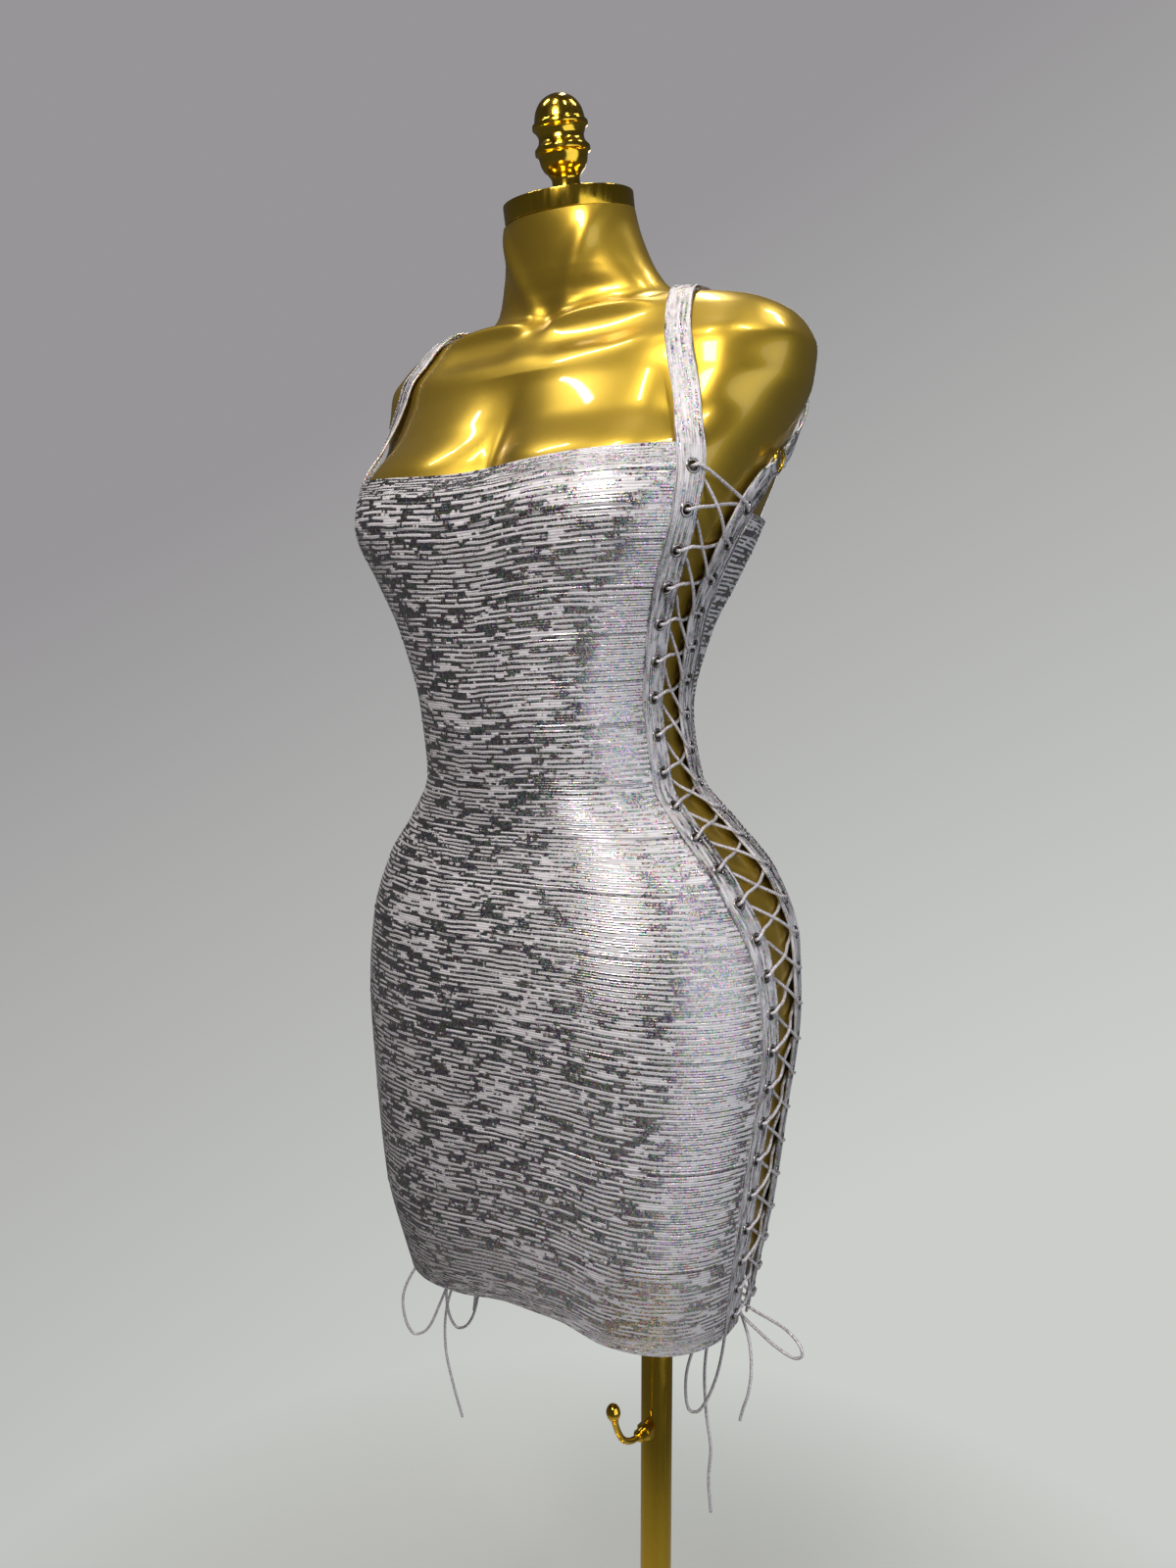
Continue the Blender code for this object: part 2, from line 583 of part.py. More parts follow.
# Knots of the two bows. A loop or a free end leaves its knot in a direction, follows its route and,
# if it is a loop, comes back to the knot from the second direction.
KNOT_LEFT = (0.1340, 0.0040, 0.6440)
KNOT_RIGHT = (-0.1340, 0.0040, 0.6440)
KNOT_RADIUS = 0.0046
LACE_FROM = ((0.55, -0.70, 0.45), (0.45, 0.75, 0.45))  # directions from which the runs come in
BOW_STEP = 0.0088
LEFT_BOW = {
    "loop_left_out": ((0.95, 0.20, -0.05), [
        (0.1550, 0.0060, 0.6395), (0.1700, 0.0035, 0.6385), (0.1860, 0.0000, 0.6370),
        (0.1985, -0.0040, 0.6320), (0.2020, -0.0060, 0.6255), (0.1960, -0.0070, 0.6220),
        (0.1800, -0.0050, 0.6240), (0.1640, 0.0000, 0.6270), (0.1500, 0.0030, 0.6315),
    ], (0.70, -0.30, -0.62)),
    "loop_left_down": ((-0.62, -0.62, -0.50), [
        (0.1230, -0.0060, 0.6280), (0.1120, -0.0080, 0.6050), (0.1040, -0.0080, 0.5800),
        (0.1020, -0.0070, 0.5580), (0.1050, -0.0060, 0.5440), (0.1120, -0.0040, 0.5450),
        (0.1200, -0.0010, 0.5600), (0.1270, 0.0010, 0.5830), (0.1310, 0.0030, 0.6100),
    ], (-0.10, 0.05, -0.99)),
    "end_left_long": ((-0.75, 0.62, -0.25), [
        (0.1240, 0.0100, 0.6340), (0.1150, 0.0090, 0.6100), (0.1110, 0.0070, 0.5750),
        (0.1140, 0.0050, 0.5400), (0.1190, 0.0040, 0.5120), (0.1180, 0.0030, 0.4860),
        (0.1210, 0.0020, 0.4590),
    ], None),
    "end_left_short": ((0.30, 0.75, -0.60), [
        (0.1400, 0.0120, 0.6300), (0.1500, 0.0080, 0.6120), (0.1560, 0.0010, 0.5940),
        (0.1565, -0.0040, 0.5780), (0.1530, -0.0060, 0.5640), (0.1505, -0.0060, 0.5540),
    ], None),
}
RIGHT_BOW = {
    "loop_right_out": ((-0.60, -0.65, -0.47), [
        (-0.1400, -0.0060, 0.6290), (-0.1500, -0.0180, 0.6130), (-0.1680, -0.0320, 0.5920),
        (-0.1780, -0.0420, 0.5650), (-0.1760, -0.0430, 0.5420), (-0.1680, -0.0400, 0.5280),
        (-0.1570, -0.0340, 0.5330), (-0.1480, -0.0270, 0.5560), (-0.1390, -0.0170, 0.5900),
        (-0.1330, -0.0060, 0.6220),
    ], (0.10, -0.75, -0.66)),
    "loop_right_down": ((-0.55, 0.10, -0.83), [
        (-0.1420, 0.0020, 0.6200), (-0.1500, -0.0060, 0.5950), (-0.1530, -0.0120, 0.5680),
        (-0.1490, -0.0140, 0.5430), (-0.1400, -0.0130, 0.5310), (-0.1300, -0.0100, 0.5350),
        (-0.1230, -0.0060, 0.5520), (-0.1210, -0.0010, 0.5850), (-0.1260, 0.0020, 0.6180),
    ], (0.50, 0.05, -0.86)),
    "end_right_long": ((-0.25, 0.75, -0.61), [
        (-0.1400, 0.0110, 0.6250), (-0.1470, 0.0090, 0.5950), (-0.1560, 0.0020, 0.5650),
        (-0.1600, -0.0060, 0.5350), (-0.1560, -0.0110, 0.5030), (-0.1460, -0.0120, 0.4720),
        (-0.1370, -0.0100, 0.4430),
    ], None),
    "end_right_short": ((0.70, 0.60, -0.40), [
        (-0.1240, 0.0100, 0.6280), (-0.1260, 0.0100, 0.5980), (-0.1330, 0.0080, 0.5680),
        (-0.1360, 0.0060, 0.5400),
    ], None),
}


def from_knot(at, way):
    """The two points with which a cord leaves a knot."""
    return [np.array(at) + unit(np.array(way)) * (KNOT_RADIUS + far) for far in (0.0007, 0.0035)]


def knot(name, at, look):
    """A small round lump, where a bow is tied."""
    rows = np.linspace(-1, 1, 6) * math.pi / 2 * 0.94
    profile = KNOT_RADIUS * np.stack([np.sin(rows), np.cos(rows)], -1)
    return add(name, *stack(turned(profile, 10) + np.array(at)), look, 80)


def bow(routes, at, look):
    for name, (out, middle, back) in routes.items():
        route = [*from_knot(at, out), *np.array(middle)]
        if back:
            route += from_knot(at, back)[::-1]
        long = np.linalg.norm(np.diff(np.array(route), axis=0), axis=1).sum()
        cord(name, curved(route, round(long / BOW_STEP)), look)


def laces(front, back, look):
    """Both runs of each side. The first one starts with the bar across the two top eyelets."""
    for side, name, at in ((1, "left", KNOT_LEFT), (-1, "right", KNOT_RIGHT)):
        first = lace_run(front, back, "front", LACE_LIFT[0])
        second = lace_run(front, back, "back", LACE_LIFT[1])
        bar = eyelet_lengths(back, FIRST_EYELET[1])[0]
        first.insert(0, back.place(bar, -(BAND_WIDTH / 2 + LACE_ASIDE), LACE_LIFT[0]))
        here = np.array(at) * (side, 1, 1)
        first += from_knot(here, LACE_FROM[0])[::-1]
        second += from_knot(here, LACE_FROM[1])[::-1]
        cord(f"lace_{name}_a", first, look, side)
        cord(f"lace_{name}_b", second, look, side)
        knot(f"knot_{name}", at, look)


# ---- the whole -----------------------------------------------------------------------------


def main():
    for old in list(bpy.data.objects):
        bpy.data.objects.remove(old, do_unlink=True)
    gold_paint = ((0.55, 0.36, 0.07), 0.28, 0.75)
    brass = ((0.72, 0.55, 0.20), 0.15, 1.0)
    foil_knit = ((0.62, 0.62, 0.65), 0.42, 0.35)
    lace_grey = ((0.50, 0.50, 0.51), 0.50, 0.10)
    torso(gold_paint)
    neck_cap(brass)
    finial(brass)
    base(brass)
    pole(brass)
    collar(brass)
    hook(brass)
    front, back = front_line(), back_line()
    panels(front, back, foil_knit)
    for name, line, which in (("front_band", front, 0), ("back_band", back, 1)):
        mirrored(band(f"{name}_left", line, which, foil_knit), f"{name}_right", foil_knit)
    mirrored(ring(brass), "strap_ring_right", brass)
    laces(front, back, lace_grey)
    bow(LEFT_BOW, KNOT_LEFT, lace_grey)
    bow(RIGHT_BOW, KNOT_RIGHT, lace_grey)


main()
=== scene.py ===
# %% [markdown]
# # A foiled bandage-knit dress on a gold dress form
# The frame holds plain solids with the true sizes. This notebook dresses them: every visible piece
# is worked out again as a fine surface on the same curves, and gets a finish made of nodes. We work
# in metres with +Z up. The form faces -Y and its left side is +X.

# %% Load the frame
import json
import math

import bpy
import numpy as np
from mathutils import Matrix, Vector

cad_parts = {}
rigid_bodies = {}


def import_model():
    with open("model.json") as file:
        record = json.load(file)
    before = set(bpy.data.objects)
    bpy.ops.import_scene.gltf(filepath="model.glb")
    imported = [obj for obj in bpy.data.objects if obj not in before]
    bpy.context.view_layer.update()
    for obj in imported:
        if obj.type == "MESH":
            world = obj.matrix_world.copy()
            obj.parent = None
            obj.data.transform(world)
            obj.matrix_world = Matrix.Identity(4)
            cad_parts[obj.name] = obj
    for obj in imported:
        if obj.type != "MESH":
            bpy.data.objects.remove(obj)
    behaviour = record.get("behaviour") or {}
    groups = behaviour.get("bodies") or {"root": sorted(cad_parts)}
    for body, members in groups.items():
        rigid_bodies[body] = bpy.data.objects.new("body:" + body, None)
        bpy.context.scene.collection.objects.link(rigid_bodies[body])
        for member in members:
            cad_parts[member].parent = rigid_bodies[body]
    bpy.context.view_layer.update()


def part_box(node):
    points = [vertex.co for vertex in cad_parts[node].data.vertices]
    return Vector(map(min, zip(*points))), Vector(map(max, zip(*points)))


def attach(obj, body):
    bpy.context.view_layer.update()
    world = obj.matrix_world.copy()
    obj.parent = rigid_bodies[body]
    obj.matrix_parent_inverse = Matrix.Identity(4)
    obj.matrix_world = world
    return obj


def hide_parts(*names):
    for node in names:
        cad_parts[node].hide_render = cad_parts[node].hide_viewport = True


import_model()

# %% [markdown]
# ## The camera
# It stands close to the form, at about chest height, a little to the form's left, and looks
# slightly down.

# %% Camera
eye = bpy.data.cameras.new("eye")
eye.lens = 27.05
eye.sensor_width = 36.0
camera = bpy.data.objects.new("camera", eye)
camera.location = (0.5651, -0.7637, 1.137)
camera.rotation_euler = (math.radians(84.1), 0, math.radians(36.5))
bpy.context.scene.collection.objects.link(camera)
bpy.context.scene.camera = camera
print("camera at", tuple(round(v, 3) for v in camera.location))

# %% [markdown]
# ## One skin for everything
# The form, the panels, the straps and the lacing all follow one smooth skin, so one function gives
# it: a stack of rounded sections, each with a half width, a reach to the front and one to the back.
# Everything else is placed on this skin by an angle from the front, a height and a lift.

# %% The sections of the skin
# height, half width, reach forward, reach back, squareness in front and behind
SECTIONS = np.array([
    (0.600, 0.136, 0.114, 0.099, 2.3, 2.3),
    (0.660, 0.151, 0.131, 0.098, 2.3, 2.3),
    (0.720, 0.165, 0.142, 0.100, 2.3, 2.3),
    (0.800, 0.176, 0.144, 0.104, 2.3, 2.3),
    (0.875, 0.184, 0.143, 0.108, 2.3, 2.3),
    (0.930, 0.181, 0.139, 0.109, 2.3, 2.3),
    (0.980, 0.164, 0.128, 0.094, 2.3, 2.3),
    (1.015, 0.135, 0.121, 0.077, 2.3, 2.3),
    (1.050, 0.107, 0.125, 0.062, 2.3, 2.3),
    (1.100, 0.102, 0.136, 0.056, 2.3, 2.3),
    (1.160, 0.118, 0.145, 0.062, 2.4, 2.3),
    (1.200, 0.139, 0.151, 0.073, 2.6, 2.3),
    (1.235, 0.157, 0.156, 0.080, 2.8, 2.3),
    (1.275, 0.168, 0.143, 0.094, 2.7, 2.3),
    (1.310, 0.176, 0.112, 0.098, 2.4, 2.3),
    (1.335, 0.187, 0.095, 0.092, 2.3, 2.3),
    (1.357, 0.190, 0.084, 0.083, 2.4, 2.4),
    (1.371, 0.184, 0.072, 0.076, 2.5, 2.5),
    (1.382, 0.175, 0.064, 0.070, 2.5, 2.5),
    (1.391, 0.160, 0.058, 0.064, 2.4, 2.4),
    (1.397, 0.142, 0.054, 0.060, 2.3, 2.3),
    (1.402, 0.108, 0.053, 0.056, 2.1, 2.1),
    (1.409, 0.085, 0.053, 0.050, 2.0, 2.0),
    (1.420, 0.070, 0.056, 0.042, 2.0, 2.0),
    (1.445, 0.057, 0.063, 0.031, 2.0, 2.0),
    (1.475, 0.048, 0.071, 0.024, 2.0, 2.0),
    (1.500, 0.046, 0.074, 0.021, 2.0, 2.0),
])


def smooth(at, knots, values):
    """A cubic curve through points that never overshoots them: between two knots it blends their
    values and slopes, and a slope is the weighted harmonic mean of the steps on its two sides."""
    at = np.asarray(at, float)
    knots, values = np.asarray(knots, float), np.asarray(values, float)
    step = np.diff(knots)
    rise = np.diff(values) / step
    same = rise[:-1] * rise[1:] > 0
    one, two = 2 * step[1:] + step[:-1], step[1:] + 2 * step[:-1]
    with np.errstate(divide="ignore", invalid="ignore"):
        middle = (one + two) / (one / rise[:-1] + two / rise[1:])
    slope = np.concatenate([[rise[0]], np.where(same, middle, 0.0), [rise[-1]]])
    i = np.clip(np.searchsorted(knots, at, side="right") - 1, 0, len(step) - 1)
    t = (at - knots[i]) / step[i]
    return (
        values[i] * (1 + 2 * t) * (1 - t) ** 2 + slope[i] * step[i] * t * (1 - t) ** 2
        + values[i + 1] * t * t * (3 - 2 * t) - slope[i + 1] * step[i] * t * t * (1 - t)
    )


def skin(angle, z):
    """A section is a superellipse: |x/a|^n + |y/b|^n = 1, with b and n of its own on each side."""
    angle, z = np.broadcast_arrays(np.asarray(angle, float), np.asarray(z, float))
    half, front, back, square_front, square_back = (
        smooth(z, SECTIONS[:, 0], SECTIONS[:, k]) for k in range(1, 6)
    )
    s, c = np.sin(angle), np.cos(angle)
    n = np.where(c > 0, square_front, square_back)
    r = (np.abs(s) ** n + np.abs(c) ** n) ** (-1 / n)
    y = (back - front) / 2 - (front + back) / 2 * r * c
    return np.stack([half * r * s, y, z], axis=-1)


print("skin at the waist:", skin(np.array([0.0, math.pi / 2]), 1.1).round(3).tolist())

# %% Lifting off the skin


def slopes(angle, z, step=2e-4):
    """How the skin's point moves with the angle and with the height, by central differences."""
    by_angle = (skin(angle + step, z) - skin(angle - step, z)) / (2 * step)
    by_height = (skin(angle, z + step) - skin(angle, z - step)) / (2 * step)
    return by_angle, by_height


def unit(v):
    """Vectors divided by their lengths."""
    return v / np.linalg.norm(v, axis=-1, keepdims=True)


def lifted(angle, z, lift):
    """The skin's point moved out along the cross product of its two slopes."""
    by_angle, by_height = slopes(angle, z)
    return skin(angle, z) + np.asarray(lift)[..., None] * unit(np.cross(by_angle, by_height))


def bump_at(value, centre, width):
    """A bell: e to the minus ((value - centre) / width) squared."""
    return np.exp(-(((value - centre) / width) ** 2))


print("lifted 10 mm:", lifted(np.array(0.3), np.array(0.9), np.array(0.01)).round(4).tolist())

# %% [markdown]
# ## The two lines that the dress hangs on
# A front line runs from the ring over the shoulder and down the side to the hem. The front band,
# a folded strip with eyelets, lies on it. The back band lies on the back line. The lace goes to and
# fro between the two, so all three need a place by length along a line.

# %% Front and back lines
STRAP_LINE = np.array([
    (1.278, 0.1670, 1), (1.300, 0.163, 1), (1.320, 0.158, 1), (1.340, 0.151, 1), (1.360, 0.142, 1),
    (1.380, 0.130, 1), (1.392, 0.120, 1), (1.399, 0.112, 1), (1.4022, 0.1068, 1),
    (1.399, 0.109, -1), (1.392, 0.112, -1), (1.380, 0.117, -1), (1.360, 0.125, -1),
    (1.330, 0.135, -1), (1.300, 0.1445, -1),
])
FRONT_LINE = np.array([
    (1.264, 59.5), (1.240, 62.5), (1.215, 64.5), (1.192, 67.0), (1.168, 71.0), (1.142, 74.8),
    (1.115, 78.0), (1.088, 79.2), (1.063, 78.2), (1.037, 75.5), (1.015, 72.2), (0.996, 72.0),
    (0.972, 73.6), (0.949, 76.5), (0.924, 80.0), (0.897, 82.8), (0.869, 84.2), (0.811, 85.3),
    (0.757, 84.6), (0.702, 85.9), (0.674, 87.6), (0.644, 89.6), (0.620, 91.0),
])
BACK_LINE = np.array([
    (1.278, 99.8), (1.260, 94.5), (1.243, 91.0), (1.220, 88.5), (1.198, 89.0), (1.175, 92.5),
    (1.149, 98.0), (1.120, 103.0), (1.090, 106.0), (1.050, 107.0), (1.020, 105.0), (0.990, 104.0),
    (0.950, 105.0), (0.900, 107.0), (0.850, 108.0), (0.750, 108.0), (0.700, 109.0), (0.650, 111.0),
    (0.620, 112.5),
])
EYELETS = 25
FIRST_EYELET = (1.264, 1.243)
LAST_EYELET = 0.645
BAND_END = 0.017
PANEL_TOPS = (0.0145, 0.0040)
BAND_WIDTH, STRAP_WIDTH = 0.021, 0.0185
CLOTH, BAND_CLOTH = 0.0016, 0.0020
RING_RADIUS, RING_WIRE = 0.0085, 0.0012
RING_REACH = RING_RADIUS + RING_WIRE + 0.0005


def angle_at(x, z, side):
    """The angle at which a section is x from its middle: the superellipse solved for its angle."""
    half, _, _, square_front, square_back = (
        smooth(z, SECTIONS[:, 0], SECTIONS[:, k]) for k in range(1, 6)
    )
    n = np.where(side < 0, square_front, square_back)
    share = np.clip(x / half, 0, 1)
    angle = np.arctan2(share, (1 - share**n) ** (1 / n))
    return np.where(side < 0, angle, math.pi - angle)


class Line:
    """A line on the skin, read by its length."""

    def __init__(self, angles, heights):
        """Runs a smooth curve through the knots and sums its steps, to read it by length."""
        points = skin(angles, heights)
        knots = np.concatenate([[0], np.cumsum(np.linalg.norm(np.diff(points, axis=0), axis=1))])
        fine = np.linspace(0, knots[-1], 600)
        self.angles, self.heights = smooth(fine, knots, angles), smooth(fine, knots, heights)
        run = np.linalg.norm(np.diff(skin(self.angles, self.heights), axis=0), axis=1)
        self.along = np.concatenate([[0], np.cumsum(run)])
        self.strap = None

    def at(self, along):
        """Angle and height at a length."""
        return np.interp(along, self.along, self.angles), np.interp(along, self.along, self.heights)

    def length_at(self, z):
        """Length at which the line comes down to a height, past its highest point."""
        top = int(np.argmax(self.heights))
        return float(np.interp(-z, -self.heights[top:], self.along[top:]))

    def beside(self, along, aside):
        """The place `aside` to the left of the line: the sideways move is split into a step in
        angle and one in height, by solving two equations with two unknowns."""
        step = 3e-3
        angle, z = self.at(along)
        by_angle, by_height = slopes(angle, z)
        ahead, behind = self.at(along + step), self.at(along - step)
        way = unit(skin(*ahead) - skin(*behind))
        across = np.asarray(aside)[..., None] * np.cross(unit(np.cross(by_angle, by_height)), way)
        aa, ah, hh = ((p * q).sum(-1) for p, q in (
            (by_angle, by_angle), (by_angle, by_height), (by_height, by_height)))
        pa, ph = (by_angle * across).sum(-1), (by_height * across).sum(-1)
        det = aa * hh - ah * ah
        return angle + (pa * hh - ph * ah) / det, z + (ph * aa - pa * ah) / det

    def place(self, along, aside, lift):
        """Points at lengths along the line, distances beside it and lifts off the skin. On the
        strap the flat ribbon takes over from the laid strip, over 30 mm at each end."""
        wanted = [np.asarray(v, float) for v in (along, aside, lift)]
        along, aside, lift = np.broadcast_arrays(*wanted)
        laid = lifted(*self.beside(along, aside), lift)
        if self.strap is None:
            return laid
        start, end = self.strap
        share = np.clip(np.minimum(along - start, end - along) / 0.030, 0, 1)[..., None]
        share = share * share * (3 - 2 * share)
        return laid + (self.bridged(along, aside, lift) - laid) * share

    def bridged(self, along, aside, lift):
        """The same place on a strap that stays flat across its width, as a stiff ribbon does on a
        round shoulder. Its plane and its middle are means over 40 mm of the line, and the middle
        is moved out to the skin again where the mean lies inside it."""
        near = along[..., None] + np.linspace(-0.020, 0.020, 9)
        angle, z = self.at(near)
        out = unit(unit(np.cross(*slopes(angle, z))).mean(axis=-2))
        way = unit(skin(*self.at(along + 0.016)) - skin(*self.at(along - 0.016)))
        middle = skin(angle, z).mean(axis=-2)
        inside = ((skin(*self.at(along)) - middle) * out).sum(axis=-1, keepdims=True)
        middle = middle + np.maximum(inside, 0) * out
        return middle + aside[..., None] * unit(np.cross(out, way)) + lift[..., None] * out


strap = angle_at(STRAP_LINE[:, 1], STRAP_LINE[:, 0], STRAP_LINE[:, 2])
front = Line(np.concatenate([strap, np.radians(FRONT_LINE[:, 1])]),
             np.concatenate([STRAP_LINE[:, 0], FRONT_LINE[:, 0]]))
back = Line(np.radians(BACK_LINE[:, 1]), BACK_LINE[:, 0])
front_holes, back_holes = (
    np.linspace(line.length_at(first), line.length_at(LAST_EYELET), EYELETS)
    for line, first in ((front, FIRST_EYELET[0]), (back, FIRST_EYELET[1]))
)
front.strap = (0.020, float(front_holes[0]) - PANEL_TOPS[0] - 0.010)
print("front line", round(front.along[-1], 3), "m, eyelets every",
      round(float(np.diff(front_holes)[0]) * 1000, 1), "mm")

# %% [markdown]
# ## From arrays to objects
# Each piece is a set of points, faces and, where a weave has to follow the cloth, a flat place for
# each point. One helper turns them into an object that rides on the frame.

# %% Helpers that make pieces
SIDES = (("left", 1), ("right", -1))


def piece(name, points, faces, nodes=(), flat=None, values=None, sharp=None):
    """Welds equal points, then makes the object: points in metres, faces of three or four points,
    `flat` a place on the cloth in metres for each point, `values` named numbers for each point."""
    points = np.asarray(points, float).reshape(-1, 3)
    _, first, index = np.unique(np.round(points * 1e6).astype(np.int64), axis=0,
                                return_index=True, return_inverse=True)
    index = index.reshape(-1)
    faces = [tuple(index[list(face)]) for face in faces]
    faces = [face for face in faces if len(set(face)) == len(face)]
    mesh = bpy.data.meshes.new(name)
    mesh.from_pydata(points[first].tolist(), [], [tuple(map(int, f)) for f in faces])
    if flat is not None:
        flat = np.asarray(flat, float).reshape(-1, 2)[first]
        layer = mesh.uv_layers.new(name="cloth")
        corner = np.empty(len(mesh.loops), np.int32)
        mesh.loops.foreach_get("vertex_index", corner)
        layer.data.foreach_set("uv", flat[corner].astype(np.float32).ravel())
    for key, numbers in (values or {}).items():
        layer = mesh.attributes.new(key, "FLOAT", "POINT")
        numbers = np.asarray(numbers, float).reshape(-1)[first]
        layer.data.foreach_set("value", numbers.astype(np.float32))
    mesh.shade_smooth()
    if sharp:
        mesh.set_sharp_from_angle(angle=math.radians(sharp))
    obj = bpy.data.objects.new(name, mesh)
    bpy.context.scene.collection.objects.link(obj)
    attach(obj, "root")
    if nodes:
        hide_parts(*nodes)
    return obj


def grid_faces(rows, cols, loop=False, start=0):
    """Quads of a grid of points; with `loop`, the last column joins the first."""
    index = np.arange(rows * cols).reshape(rows, cols) + start
    if loop:
        index = np.concatenate([index, index[:, :1]], axis=1)
    quads = np.stack([index[:-1, :-1], index[:-1, 1:], index[1:, 1:], index[1:, :-1]], -1)
    return quads.reshape(-1, 4)


def wall_faces(rows, cols):
    """Quads of two such grids, the second inside the first, and of the four edges between them."""
    outer = grid_faces(rows, cols)
    inner = grid_faces(rows, cols, start=rows * cols)[:, ::-1]
    index = np.arange(rows * cols).reshape(rows, cols)
    rim = np.concatenate([index[0], index[1:, -1], index[-1, -2::-1], index[-2:0:-1, 0]])
    after = np.roll(rim, -1)
    return np.concatenate([outer, inner, np.stack([rim, rim + rows * cols, after + rows * cols,
                                                   after], -1)])


def outward(obj):
    """Turns a closed piece's faces outwards, if the sum of its signed volumes is negative."""
    mesh = obj.data
    mesh.calc_loop_triangles()
    corners = np.empty(len(mesh.loop_triangles) * 3, np.int32)
    mesh.loop_triangles.foreach_get("vertices", corners)
    spots = np.empty(len(mesh.vertices) * 3, np.float32)
    mesh.vertices.foreach_get("co", spots)
    a, b, c = spots.reshape(-1, 3)[corners.reshape(-1, 3)].astype(float).transpose(1, 0, 2)
    if (a * np.cross(b, c)).sum() < 0:
        mesh.flip_normals()
    return obj


def tube(path, radius, around=8):
    """Points of a tube: a circle carried along a path. Its two directions are turned from each
    point to the next by as little as the path turns."""
    path = np.asarray(path, float)
    way = unit(np.gradient(path, axis=0))
    side = np.empty_like(path)
    side[0] = unit(np.cross(way[0], (0.31, 0.2, 0.93)))
    for i in range(1, len(path)):
        side[i] = unit(side[i - 1] - way[i] * (side[i - 1] @ way[i]))
    up = np.cross(way, side)
    turn = np.linspace(0, 2 * math.pi, around, endpoint=False)
    radius = np.broadcast_to(radius, len(path))[:, None, None]
    return path[:, None] + radius * (
        np.cos(turn)[None, :, None] * side[:, None] + np.sin(turn)[None, :, None] * up[:, None])


def capped(rows, around, start=0):
    """Faces of a closed tube of rings."""
    faces = [tuple(f) for f in grid_faces(rows, around, loop=True, start=start)]
    first = start + np.arange(around)
    return faces + [tuple(first[::-1]), tuple(first + (rows - 1) * around)]


print("helpers ready")

# %% [markdown]
# ## The lace
# One round cord closes each side. A bar lies across the two top eyelets. From there each half goes
# down from the inside of an eyelet, under the band's edge, over the edge of the other band and in
# through its next eyelet. Where the halves cross, one rides over the other. A cord is a curve with
# a round bevel, so its own line is its centre line.

# %% Route of one run of lace
LACE = 0.0012  # radius
OVER, UNDER = BAND_CLOTH + 0.0007 + LACE, -LACE - 0.0003


def through(line, hole, way, start):
    """The short stretch through an eyelet, from outside to inside: it dives from over the cloth
    to under it while it turns back towards the gap."""
    asides = np.array([6.5, 3.2, 1.0, 0.2, 0.3, 1.4, 4.2, 8.0]) * 1e-3 * way
    lifts = np.array([OVER, OVER + 1e-4, OVER - 3e-4, BAND_CLOTH * 0.8, 0.0, UNDER * 0.9, UNDER,
                      UNDER])
    drift = np.array([-2.4, -1.2, -0.4, 0.0, 0.0, 0.5, 1.5, 2.9]) * 1e-3
    return line.place(hole + drift, asides, lifts)[start:]


def run_of_lace(begins, hump):
    """Eyelet by eyelet: the stretch through each, and between two of them a crossing that follows
    the skin from the inner side of one edge to the outer side of the next."""
    here = begins
    points = []
    for i in range(EYELETS):
        line, holes, way = (front, front_holes, 1) if here == "front" else (back, back_holes, -1)
        if i:
            start, end = left_at, line.beside(holes[i] - 0.0035, way * (BAND_WIDTH / 2 + 0.001))
            share = np.linspace(0, 1, 9)[1:-1]
            angle = start[0] + (end[0] - start[0]) * share
            z = start[1] + (end[1] - start[1]) * share
            lift = UNDER + (OVER - UNDER) * (3 * share**2 - 2 * share**3)
            lift = lift + hump * np.sin(math.pi * share) ** 2
            points.append(lifted(angle, z, lift))
            points.append(lifted(*map(np.atleast_1d, end), np.array([OVER])))
        points.append(through(line, holes[i], way, 0 if i else 1))
        left_at = line.beside(holes[i] + 0.0045, way * (BAND_WIDTH / 2 + 0.001))
        here = "back" if here == "front" else "front"
    return np.concatenate(points)


run_a, run_b = run_of_lace("front", 0.0013), run_of_lace("back", -0.0013)
print("points in a run:", len(run_a), len(run_b))

